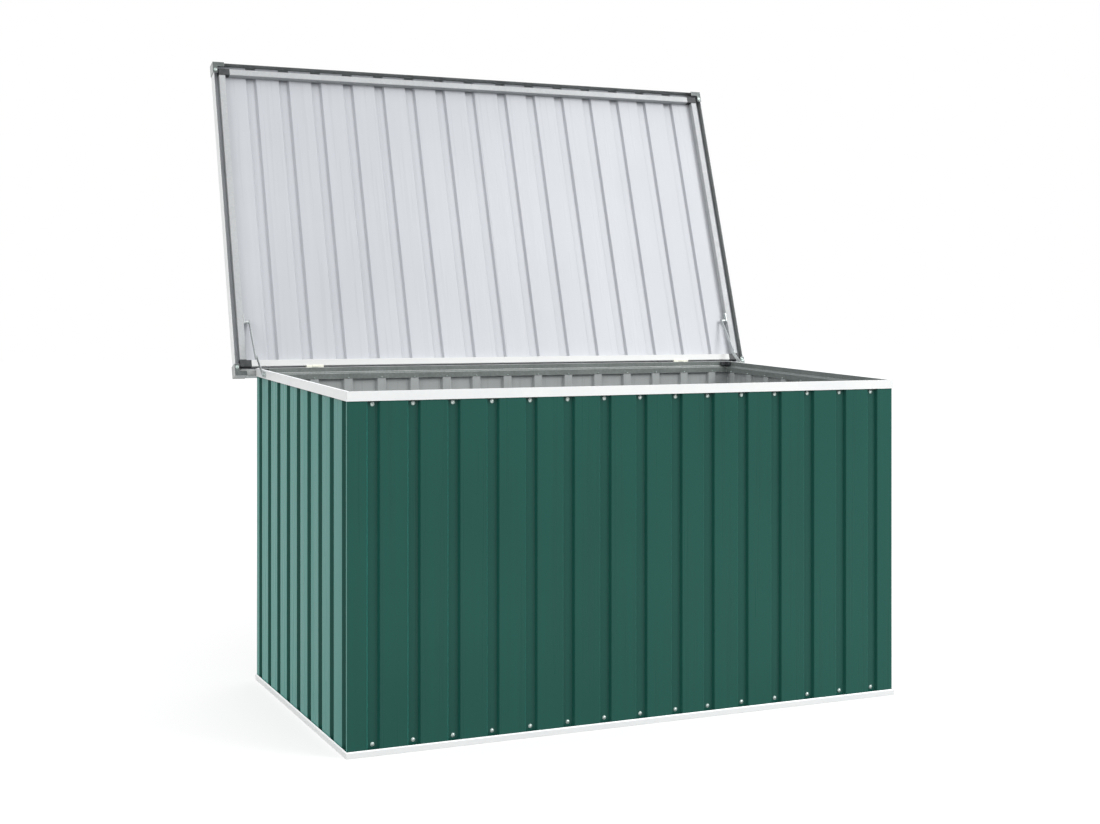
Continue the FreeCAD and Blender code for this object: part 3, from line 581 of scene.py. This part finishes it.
def plated_steel(name, dark, light):
    """Bright zinc plating with fine turning marks and a few dull spots."""
    material, tree, shader, place = new_material(name)
    spots = ramp(tree, noise(tree, place, PLATING_SPOTS), *NOISE_SPAN)
    shader.inputs["Metallic"].default_value = PLATING_METALLIC
    relief = bumped(tree, noise(tree, place, TURNING_MARKS), *TURNING_RELIEF)
    colour = blend_colours(tree, spots, dark, light)
    set_surface(tree, shader, colour, between(tree, spots, *PLATING_ROUGHNESS), relief)
    return material


def screw_group(name, body, head, threads):
    """One piece of detailed screws in place of a CAD group."""
    mesh = bmesh.new()
    for seat, inward in screw_seats(name):
        made = pan_head(mesh, **head)
        if threads:
            made += screw_end(mesh)
        placing = Matrix.Translation(seat) @ (-inward).to_track_quat("Z", "Y").to_matrix().to_4x4()
        bmesh.ops.transform(mesh, matrix=placing, verts=made)
    new_piece(name + "_detailed", mesh, [screw_steel], body, "bright_steel", name)


screw_steel = plated_steel("screw_steel", SCREW_STEEL_GREEN_REFLECTED_DARK, SCREW_STEEL_GREEN_REFLECTED_LIGHT)
for side in SIDES:
    screw_group(side + "_wall_screws", "box", WALL_HEAD, True)

# Lid sheets: two lapped sheets of the same ribbed steel, with the ribs standing out on the
# outside, green there and pale lavender grey inside. They lie on the tubes of the lid frame
# and are held by screws through the flats.
LID_GREY = (0.488, 0.506, 0.537, 1)
LID_GREY_LIGHT = (0.549, 0.569, 0.601, 1)
ALONG_LID = (1, 0.05, 0.02)
FRONT_TO_REAR = 1


def middle(name):
    """Middle of a CAD node's box."""
    low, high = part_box(name)
    return (low + high) / 2


hinge_line = Vector(next(joint["pos_m"] for joint in frame["joints"] if joint["name"] == "lid_hinge"))
lid_across = Vector((1, 0, 0))
lid_back = (middle("lid_rear_tube") - middle("lid_front_tube")).normalized()
lid_out = lid_across.cross(lid_back)
lid_turn = Matrix((lid_across, lid_back, lid_out)).transposed()
lid_place = Matrix.Translation(hinge_line) @ lid_turn.to_4x4()
lid_grey = sheet_coat("lid_grey", ALONG_LID, LID_GREY, LID_GREY_LIGHT, GREY_GLOSS)
lid_coats = (green_coat("lid_green", ALONG_LID), lid_grey)
for half in ("left", "right"):
    name = "lid_" + half + "_sheet"
    ribbed_sheet(name, "lid", lid_place, FRONT_TO_REAR, lid_out, lid_out, lid_coats, "lid_sheet")

# Lid frame: four square steel tubes with rounded corners, pushed onto dark moulded joints.
# The rear tube has a white powder coat, the other three are pale galvanised.
LEFT_TO_RIGHT = 0
TUBE_WALL = 0.0010
TUBE_CORNER = 0.0022
CORNER_STEPS = 5
TUBE_WHITE = (0.66, 0.67, 0.665, 1)
TUBE_WHITE_DULL = (0.61, 0.62, 0.62, 1)
POWDER_GRAIN = 1100.0
POWDER_CLOUDS = 9.0
POWDER_ROUGHNESS = (0.34, 0.48)
POWDER_RELIEF = (0.12, 0.0002)
TUBE_ZINC = (0.470, 0.485, 0.495, 1)
TUBE_ZINC_DULL = (0.400, 0.415, 0.425, 1)
TUBE_METALLIC = 0.05
TUBE_DULL_SPOTS = 40.0
TUBE_ROUGHNESS = (0.38, 0.52)
TUBE_GRAIN = 700.0
TUBE_RELIEF = (0.06, 0.0002)
JOINT_EDGE = 0.0010


def lid_box(name):
    """Lowest and highest corner of a CAD node along the lid's own directions, from the hinge line."""
    to_lid = lid_place.inverted()
    corners = [to_lid @ vert.co for vert in frame["nodes"][name].data.vertices]
    return [Vector([limit(corner[k] for corner in corners) for k in range(3)]) for limit in (min, max)]


def rounded_rectangle(low, high, radius):
    """Points of a rectangle with round corners, in order."""
    points = []
    for quarter, (a, b) in enumerate(((1, 1), (0, 1), (0, 0), (1, 0))):
        centre_a = (high[0] - radius) if a else (low[0] + radius)
        centre_b = (high[1] - radius) if b else (low[1] + radius)
        for k in range(CORNER_STEPS + 1):
            angle = math.pi / 2 * (quarter + k / CORNER_STEPS)
            points.append((centre_a + radius * math.cos(angle), centre_b + radius * math.sin(angle)))
    return points


def square_tube(name, material, slot):
    """Tube with rounded corners, open at both ends, in place of a CAD tube."""
    low, high = lid_box(name)
    long, wide = LEFT_TO_RIGHT, FRONT_TO_REAR
    if high.x - low.x < high.y - low.y:
        long, wide = wide, long
    mesh = bmesh.new()
    outer = rounded_rectangle((low[wide], low.z), (high[wide], high.z), TUBE_CORNER)
    bore_low = (low[wide] + TUBE_WALL, low.z + TUBE_WALL)
    bore_high = (high[wide] - TUBE_WALL, high.z - TUBE_WALL)
    inner = rounded_rectangle(bore_low, bore_high, TUBE_CORNER - TUBE_WALL)
    rings = []
    for end, section in ((low, inner), (low, outer), (high, outer), (high, inner)):
        loop = []
        for across, up in section:
            point = Vector((0, 0, up))
            point[long] = end[long]
            point[wide] = across
            loop.append(mesh.verts.new(lid_place @ point))
        rings.append(loop)
    skin(mesh, rings + rings[:1])
    new_piece(name + "_rounded", mesh, [material], "lid", slot, name)


def powder_coat(name, dull, fresh):
    """Powder coat with its fine texture and a slight change of tone."""
    material, tree, shader, place = new_material(name)
    grain = noise(tree, place, POWDER_GRAIN)
    colour = blend_colours(tree, noise(tree, place, POWDER_CLOUDS), dull, fresh)
    roughness = between(tree, grain, *POWDER_ROUGHNESS)
    set_surface(tree, shader, colour, roughness, bumped(tree, grain, *POWDER_RELIEF))
    return material


def pale_zinc(name):
    """Freshly galvanised tube: pale, with a fine spangle and dull patches."""
    material, tree, shader, place = new_material(name)
    shader.inputs["Metallic"].default_value = TUBE_METALLIC
    colour = zinc_tone(tree, place, TUBE_ZINC_DULL, TUBE_ZINC)
    roughness = between(tree, noise(tree, place, TUBE_DULL_SPOTS), *TUBE_ROUGHNESS, *NOISE_SPAN)
    relief = bumped(tree, noise(tree, place, TUBE_GRAIN), *TUBE_RELIEF)
    set_surface(tree, shader, colour, roughness, relief)
    return material


square_tube("lid_rear_tube", powder_coat("tube_coat", TUBE_WHITE_DULL, TUBE_WHITE), "tube_white")
tube_zinc = pale_zinc("tube_zinc")
for side in ("front", "left", "right"):
    square_tube("lid_" + side + "_tube", tube_zinc, "galvanised")
for end in ("rear", "front"):
    for side in ("left", "right"):
        dress("lid_" + end + "_" + side + "_joint", plastic)
        ease_edges("lid_" + end + "_" + side + "_joint", JOINT_EDGE)

# Lid trim: channels folded from the same one-side coated strip as the rails, white outside
# and bare zinc inside, over the four edges of the lid sheets, with a zinc cap over each
# mitred corner. Screws hold the sheets to the tubes and the caps to the trim.
TRIM = 0.0008
TRIM_TOP = 0.0220
TRIM_HEM = 0.0025
TRIM_BEND = 0.0014
BEND_STEPS = 4
TRIM_EDGE = 0.0003
# Painted light: the bare zinc inside the trims is a lighter copy of the rails' zinc from the same strip,
# standing in for more light on the trims.
TRIM_ZINC_PAINTED_LIT = (0.250, 0.262, 0.258, 1)
TRIM_ZINC_PAINTED_LIT_PALE = (0.365, 0.380, 0.375, 1)
EDGE_ZINC = (0.30, 0.31, 0.31, 1)
EDGE_ZINC_BRIGHT = (0.46, 0.47, 0.47, 1)
TRIM_EDGE_METALLIC = 0.8
# Painted shade: much darker zinc for the cap faces turned into the lid.
CAP_INNER_PAINTED_SHADE = (0.085, 0.095, 0.095, 1)
CAP_ZINC = (0.34, 0.355, 0.355, 1)
CAP_ZINC_LIGHT = (0.48, 0.495, 0.495, 1)
CAP_METALLIC = 0.6
PAINTED_SHADE_TURN = (0.6, 0.8)


def bend(centre_height, radius, first):
    """Quarter turn of a fold as (inset, height) points, from the first angle on."""
    angles = [math.radians(first + 90 * k / BEND_STEPS) for k in range(BEND_STEPS + 1)]
    return [(TRIM_BEND + radius * math.cos(a), centre_height + radius * math.sin(a)) for a in angles]


def trim_outline(bottom, top):
    """Section of a trim channel: top flange, edge and a narrow hem, with rounded folds."""
    high = top - TRIM_BEND
    low = bottom + TRIM_BEND
    outer = bend(high, TRIM_BEND, 90) + bend(low, TRIM_BEND, 180)
    inner = bend(high, TRIM_BEND - TRIM, 90) + bend(low, TRIM_BEND - TRIM, 180)
    hem = [(TRIM_HEM, bottom), (TRIM_HEM, bottom + TRIM)]
    return [(TRIM_TOP, top)] + outer + hem + inner[::-1] + [(TRIM_TOP, top - TRIM)]


def folded_trim(name, run, inward, sign, material):
    """Channel along one edge of the lid, mitred at both ends, in place of a CAD trim.

    The run is the axis along the edge, and inward the axis into the lid, with its sign.
    """
    low, high = lid_box(name)
    edge = low[inward] if sign > 0 else high[inward]
    mesh = bmesh.new()
    rings = []
    for end, way in ((low[run], 1), (high[run], -1)):
        loop = []
        for inset, height in trim_outline(low.z, high.z):
            point = Vector((0, 0, height))
            point[run] = end + way * inset
            point[inward] = edge + sign * inset
            loop.append(mesh.verts.new(lid_place @ point))
        rings.append(loop)
    closed_skin(mesh, rings)
    new_piece(name + "_folded", mesh, [material], "lid", "rail_white", name)


def corner_zinc(name):
    """Zinc of the pressed caps, paler on the outside; the much darker zinc on the inner lips is painted
    shade.
    """
    material, tree, shader, place = new_material(name)
    # Painted shade on the cap faces turned into the lid.
    inner = facing(tree, place, -lid_out, *PAINTED_SHADE_TURN)
    cap_outside = zinc_tone(tree, place, CAP_ZINC, CAP_ZINC_LIGHT)
    colour = blend_colours(tree, inner, cap_outside, zinc_tone(tree, place, CAP_INNER_PAINTED_SHADE, ZINC_DARK_GREEN_REFLECTED))
    set_zinc(tree, shader, place, colour, CAP_METALLIC)
    return material


trim_coats = {}
trim_sides = {"front": -lid_back, "rear": lid_back, "left": SIDES["left"], "right": SIDES["right"]}
for side, outward in trim_sides.items():
    trim_coats[side] = rail_material("trim_" + side, outward, lid_out, TRIM_ZINC_PAINTED_LIT, TRIM_ZINC_PAINTED_LIT_PALE)
folded_trim("lid_front_trim", LEFT_TO_RIGHT, FRONT_TO_REAR, 1, trim_coats["front"])
folded_trim("lid_left_trim", FRONT_TO_REAR, LEFT_TO_RIGHT, 1, trim_coats["left"])
folded_trim("lid_right_trim", FRONT_TO_REAR, LEFT_TO_RIGHT, -1, trim_coats["right"])
trim_edge = worn_edge("trim_edge", EDGE_ZINC, EDGE_ZINC_BRIGHT, TRIM_EDGE_METALLIC)
dress("lid_rear_trim", trim_coats["rear"], trim_edge)
ease_edges("lid_rear_trim", TRIM_EDGE)
cap_zinc = corner_zinc("cap_zinc")
for end in ("rear", "front"):
    for side in ("left", "right"):
        dress("lid_" + end + "_" + side + "_cap", cap_zinc, trim_edge)
        ease_edges("lid_" + end + "_" + side + "_cap", TRIM_EDGE)
screw_group("lid_screws", "lid", WALL_HEAD, False)

# Hinges: two pressed steel butt hinges with a pale cream coat between the back rail and the
# rear tube. Each has two leaves with knuckles rolled round a plain steel pin; the rail leaf
# has the two outer knuckles and the lid leaf the middle one.
CREAM = (0.82, 0.82, 0.72, 1)
CREAM_DULL = (0.74, 0.74, 0.65, 1)
LEAF = 0.0015
LEAF_BEHIND_PIN = 0.0005
LEAF_CORNER = 0.0035
LEAF_EASE = 0.0003
KNUCKLES = 3
KNUCKLE_RADIUS = 0.0035
KNUCKLE_BORE = 0.00205
KNUCKLE_CLEAR = 0.0005
LINK_STEEL_DARK = (0.47, 0.495, 0.495, 1)
LINK_STEEL_LIGHT = (0.69, 0.72, 0.72, 1)
PIN_RADIUS = 0.0020
PIN_CHAMFER = 0.0005
TURNED_STEPS = 28


def turned(mesh, profile, y, z):
    """Rings about a line across the box, from (place on the line, radius) pairs."""
    angles = [2 * math.pi * k / TURNED_STEPS for k in range(TURNED_STEPS)]
    rings = []
    for x, radius in profile:
        spots = [(x, y + radius * math.cos(a), z + radius * math.sin(a)) for a in angles]
        rings.append([mesh.verts.new(spot) for spot in spots])
    return rings


def eased_plate(mesh, outline, x0, x1, ease):
    """Flat plate across the box from x0 to x1; outline(inset) gives its (y, z) points."""
    rings = []
    for x, inset in ((x0, ease), (x0 + ease, 0), (x1 - ease, 0), (x1, ease)):
        rings.append([mesh.verts.new((x, y, z)) for y, z in outline(inset)])
    closed_skin(mesh, rings)


def leaf_plate(mesh, low, high, thick_low, thick_high):
    """Leaf with round corners and eased edges, flat across its thickness."""
    eased_low = thick_low + LEAF_EASE
    eased_high = thick_high - LEAF_EASE
    rings = []
    for y, inset in ((thick_low, LEAF_EASE), (eased_low, 0), (eased_high, 0), (thick_high, LEAF_EASE)):
        near = (low[0] + inset, low[1] + inset)
        far = (high[0] - inset, high[1] - inset)
        points = rounded_rectangle(near, far, LEAF_CORNER - inset)
        rings.append([mesh.verts.new((x, y, z)) for x, z in points])
    closed_skin(mesh, rings)


def hinge_leaf(name, body, place, low, high, pin_y, pin_z, spans):
    """Leaf below or above the pin with its rolled knuckles, in place of a CAD leaf."""
    mesh = bmesh.new()
    thick_high = pin_y - LEAF_BEHIND_PIN
    thick_low = thick_high - LEAF
    sweep = KNUCKLE_RADIUS + KNUCKLE_CLEAR
    near = pin_z - sweep if low.z < pin_z - sweep - LEAF else pin_z + sweep
    far = low.z if near < pin_z else high.z
    leaf_plate(mesh, (low.x, min(near, far)), (high.x, max(near, far)), thick_low, thick_high)
    tab_low = min(pin_z, near) - LEAF_EASE
    tab_high = max(pin_z, near) + LEAF_EASE
    tab = rounded_rectangle((thick_low, tab_low), (thick_high, tab_high), LEAF_EASE)
    for start, end in spans:
        closed_skin(mesh, [[mesh.verts.new((x, y, z)) for y, z in tab] for x in (start, end)])
        left_end = ((start, KNUCKLE_BORE), (start, KNUCKLE_RADIUS))
        right_end = ((end, KNUCKLE_RADIUS), (end, KNUCKLE_BORE))
        rings = turned(mesh, left_end + right_end, pin_y, pin_z)
        skin(mesh, rings + rings[:1])
    bmesh.ops.transform(mesh, matrix=place, verts=mesh.verts[:])
    new_piece(name + "_pressed", mesh, [cream_coat], body, "hinge_cream", name)


cream_coat = powder_coat("cream_coat", CREAM_DULL, CREAM)
link_steel = plated_steel("link_steel", LINK_STEEL_DARK, LINK_STEEL_LIGHT)
for side in ("left", "right"):
    name = side + "_hinge_rail_leaf"
    low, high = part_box(name)
    knuckle = (high.x - low.x - (KNUCKLES - 1) * KNUCKLE_CLEAR) / KNUCKLES
    outer_spans = ((low.x, low.x + knuckle), (high.x - knuckle, high.x))
    hinge_leaf(name, "box", Matrix(), low, high, hinge_line.y, hinge_line.z, outer_spans)

    name = side + "_hinge_lid_leaf"
    low, high = lid_box(name)
    centre = (low.x + high.x) / 2
    middle_span = (centre - knuckle / 2, centre + knuckle / 2)
    hinge_leaf(name, "lid", lid_place, low, high, 0.0, 0.0, (middle_span,))

    name = side + "_hinge_pin"
    low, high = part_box(name)
    pin_end = PIN_RADIUS - PIN_CHAMFER
    left_end = ((low.x, pin_end), (low.x + PIN_CHAMFER, PIN_RADIUS))
    right_end = ((high.x - PIN_CHAMFER, PIN_RADIUS), (high.x, pin_end))
    mesh = bmesh.new()
    closed_skin(mesh, turned(mesh, left_end + right_end, hinge_line.y, hinge_line.z))
    new_piece(name + "_turned", mesh, [link_steel], "box", "bright_steel", name)

# Stays: a folding pair of flat steel links at each side, from a bracket on the side rail to a
# bracket on the side tube of the lid, all zinc-plated and riveted. Small screws fix the
# brackets and the hinge leaves.
LINK = 0.0020
LINK_WIDTH = 0.0120
LINK_EASE = 0.0004
LINK_CLEAR = 0.0005
END_STEPS = 12
BRACKET = 0.0020
BRACKET_CORNER = 0.0050
STUD_RADIUS = 0.0030
STUD_HEAD_RADIUS = 0.0045
STUD_HEAD = 0.0014
STUD_DOME = ((0.0, 1.0), (0.4, 1.0), (0.8, 0.75), (1.0, 0.4))
SMALL_HEAD = dict(radius=0.0026, height=0.0014, washer_radius=0.0029, washer=0.0003)


def link_outline(start, end, inset):
    """Outline of a flat link with round ends about two pivots, as (y, z) points."""
    along = math.atan2(end[1] - start[1], end[0] - start[0])
    radius = LINK_WIDTH / 2 - inset
    points = []
    for centre, first in ((end, along - math.pi / 2), (start, along + math.pi / 2)):
        for k in range(END_STEPS + 1):
            angle = first + math.pi * k / END_STEPS
            points.append((centre[0] + radius * math.cos(angle), centre[1] + radius * math.sin(angle)))
    return points


def bracket_outline(low, high, inset):
    """Outline of a bracket's plate with round corners, as (y, z) points."""
    near = (low.y + inset, low.z + inset)
    return rounded_rectangle(near, (high.y - inset, high.z - inset), BRACKET_CORNER)


def stay_pivot(name):
    """Pivot of a link as (y, z), from its joint."""
    found = next(joint["pos_m"] for joint in frame["joints"] if joint["name"] == name)
    return found[1], found[2]


def far_pivot(name, pivot):
    """The other pivot of a link, from the reach of its CAD node."""
    spots = [Vector((v.co.y - pivot[0], v.co.z - pivot[1])) for v in frame["nodes"][name].data.vertices]
    way = max(spots, key=lambda spot: spot.length).normalized()
    reach = max(spot.dot(way) for spot in spots) - LINK_WIDTH / 2
    return pivot[0] + way.x * reach, pivot[1] + way.y * reach


def plain_stud(mesh, radius, root, end, y, z):
    """Round stud on a line across the box."""
    closed_skin(mesh, turned(mesh, ((root, radius), (end, radius)), y, z))


def domed(mesh, root, head, y, z):
    """Rivet head on a line across the box, rounded towards its far end."""
    profile = [(root + share * (head - root), wide * STUD_HEAD_RADIUS) for share, wide in STUD_DOME]
    closed_skin(mesh, turned(mesh, profile, y, z))


def stay_piece(name, mesh, body, place):
    """Piece of a stay, from a mesh drawn in the directions that the place turns into the box's."""
    bmesh.ops.transform(mesh, matrix=place, verts=mesh.verts[:])
    new_piece(name + "_pressed", mesh, [link_steel], body, "bright_steel", name)


for side, sign in (("left", -1), ("right", 1)):
    name = side + "_stay_lower_link"
    pivot = stay_pivot(side + "_lower_stay_pivot")
    elbow = far_pivot(name, pivot)
    low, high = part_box(name)
    mesh = bmesh.new()
    eased_plate(mesh, lambda inset: link_outline(pivot, elbow, inset), low.x, high.x, LINK_EASE)
    stay_piece(name, mesh, side + "_lower_stay", Matrix())

    name = side + "_stay_rail_bracket"
    low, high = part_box(name)
    root, tip = (low.x, high.x) if sign > 0 else (high.x, low.x)
    plate = root + sign * BRACKET
    head = tip - sign * STUD_HEAD
    mesh = bmesh.new()
    eased_plate(mesh, lambda inset: bracket_outline(low, high, inset), root, plate, sign * LINK_EASE)
    plain_stud(mesh, STUD_RADIUS, root, head, *pivot)
    domed(mesh, head, tip, *pivot)
    stay_piece(name, mesh, "box", Matrix())

    name = side + "_stay_upper_link"
    pivot = stay_pivot(side + "_upper_stay_pivot")
    low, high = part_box(name)
    inner, outer = (low.x, high.x) if sign > 0 else (high.x, low.x)
    face = outer - sign * LINK
    mesh = bmesh.new()
    eased_plate(mesh, lambda inset: link_outline(pivot, elbow, inset), face, outer, sign * LINK_EASE)
    domed(mesh, face, inner, *elbow)
    stay_piece(name, mesh, side + "_upper_stay", Matrix())

    name = side + "_stay_lid_bracket"
    low, high = lid_box(name)
    root, tip = (high.x, low.x) if sign > 0 else (low.x, high.x)
    plate = root - sign * BRACKET
    head = tip + sign * STUD_HEAD
    seat = lid_place.inverted() @ Vector((0, *pivot))
    mesh = bmesh.new()
    eased_plate(mesh, lambda inset: bracket_outline(low, high, inset), root, plate, -sign * LINK_EASE)
    plain_stud(mesh, STUD_HEAD_RADIUS, root, outer + sign * LINK_CLEAR, seat.y, seat.z)
    plain_stud(mesh, STUD_RADIUS, root, head, seat.y, seat.z)
    domed(mesh, head, tip, seat.y, seat.z)
    stay_piece(name, mesh, "lid", lid_place)
screw_group("rail_fitting_screws", "box", SMALL_HEAD, False)
screw_group("lid_fitting_screws", "lid", SMALL_HEAD, False)

# Studio: a wide pale floor, a white surround that gives more light from overhead than from the
# sides, two soft square lamps and the camera of the photograph. The floor shows white with a
# faint shadow and gives the object little light from below.
GROUND_HALF = 30.0
GROUND_DROP = 0.0005
GROUND_SEEN = (0.36, 0.36, 0.36, 1)
GROUND_GLOW = 0.60
GROUND_BOUNCE = (0.17, 0.17, 0.17, 1)
SURROUND_WHITE = (1, 1, 1, 1)
SURROUND_SEEN = 1.0
SURROUND_LIGHT = (0.45, 1.7)
KEY_LAMP = dict(power=216.0, size=3.0, place=(3.6, -4.0, 4.4), target=(0, 0, 0.8))
FILL_LAMP = dict(power=42.0, size=2.5, place=(-4.6, -2.4, 2.8), target=(0, 0, 0.6))
PHOTO_WIDTH = 1100
PHOTO_HEIGHT = 824
SENSOR_WIDTH = 36.0
FOCAL_PIXELS = 1599.9
HORIZON_PIXEL = 309.5
CAMERA_YAW = 24.004
CAMERA_PLACE = (-1.9067, -4.1550, 1.0779)


def seen(tree):
    """1 where the camera sees the studio, also in gloss and glass, and 0 where it only gives light."""
    path = add(tree, "ShaderNodeLightPath").outputs
    mirrored = larger(tree, path["Is Glossy Ray"], path["Is Transmission Ray"])
    return larger(tree, path["Is Camera Ray"], mirrored)


def lamp(name, power, size, place, target):
    """Square soft lamp that is aimed at a target."""
    light = bpy.data.lights.new(name, "AREA")
    light.shape = "SQUARE"
    light.size = size
    light.energy = power
    made = bpy.data.objects.new(name, light)
    made.location = place
    made.rotation_euler = (Vector(target) - Vector(place)).to_track_quat("-Z", "Y").to_euler()
    bpy.context.scene.collection.objects.link(made)


corners = [(x * GROUND_HALF, y * GROUND_HALF) for x, y in ((-1, -1), (1, -1), (1, 1), (-1, 1))]
floor_mesh = bpy.data.meshes.new("studio_floor")
floor_mesh.from_pydata([(x, y, cad_box[0].z - GROUND_DROP) for x, y in corners], [], [(0, 1, 2, 3)])
floor = bpy.data.objects.new("studio_floor", floor_mesh)
bpy.context.scene.collection.objects.link(floor)
floor_material, tree, shader, _ = new_material("studio_floor")
tree.nodes.remove(shader)
grey_floor = add(tree, "ShaderNodeBsdfDiffuse", {"Color": GROUND_SEEN}).outputs[0]
glow = add(tree, "ShaderNodeEmission", {"Strength": GROUND_GLOW}).outputs[0]
white_floor = add(tree, "ShaderNodeAddShader", {0: grey_floor, 1: glow}).outputs[0]
dim_floor = add(tree, "ShaderNodeBsdfDiffuse", {"Color": GROUND_BOUNCE}).outputs[0]
floor_look = add(tree, "ShaderNodeMixShader", {0: seen(tree), 1: dim_floor, 2: white_floor}).outputs[0]
tree.links.new(floor_look, tree.nodes["Material Output"].inputs["Surface"])
floor_mesh.materials.append(floor_material)

world = bpy.data.worlds.new("studio")
world.use_nodes = True
tree = world.node_tree
surround = tree.nodes["Background"].inputs
surround["Color"].default_value = SURROUND_WHITE
direction = add(tree, "ShaderNodeTexCoord").outputs["Generated"]
height = add(tree, "ShaderNodeSeparateXYZ", {0: direction}).outputs["Z"]
overhead = between(tree, height, *SURROUND_LIGHT)
strength = add(tree, "ShaderNodeMix", {0: seen(tree), 2: overhead, 3: SURROUND_SEEN}).outputs[0]
tree.links.new(strength, surround["Strength"])
bpy.context.scene.world = world

lamp("key", **KEY_LAMP)
lamp("fill", **FILL_LAMP)

camera_data = bpy.data.cameras.new("camera")
camera_data.sensor_width = SENSOR_WIDTH
camera_data.lens = FOCAL_PIXELS / PHOTO_WIDTH * SENSOR_WIDTH
camera_data.shift_y = (HORIZON_PIXEL - PHOTO_HEIGHT / 2) / PHOTO_WIDTH
camera = bpy.data.objects.new("camera", camera_data)
camera.location = CAMERA_PLACE
camera.rotation_euler = (math.radians(90), 0, -math.radians(CAMERA_YAW))
bpy.context.scene.collection.objects.link(camera)
bpy.context.scene.camera = camera
bpy.context.scene.view_settings.view_transform = "Standard"

# Bring the scene up to date.
bpy.context.view_layer.update()
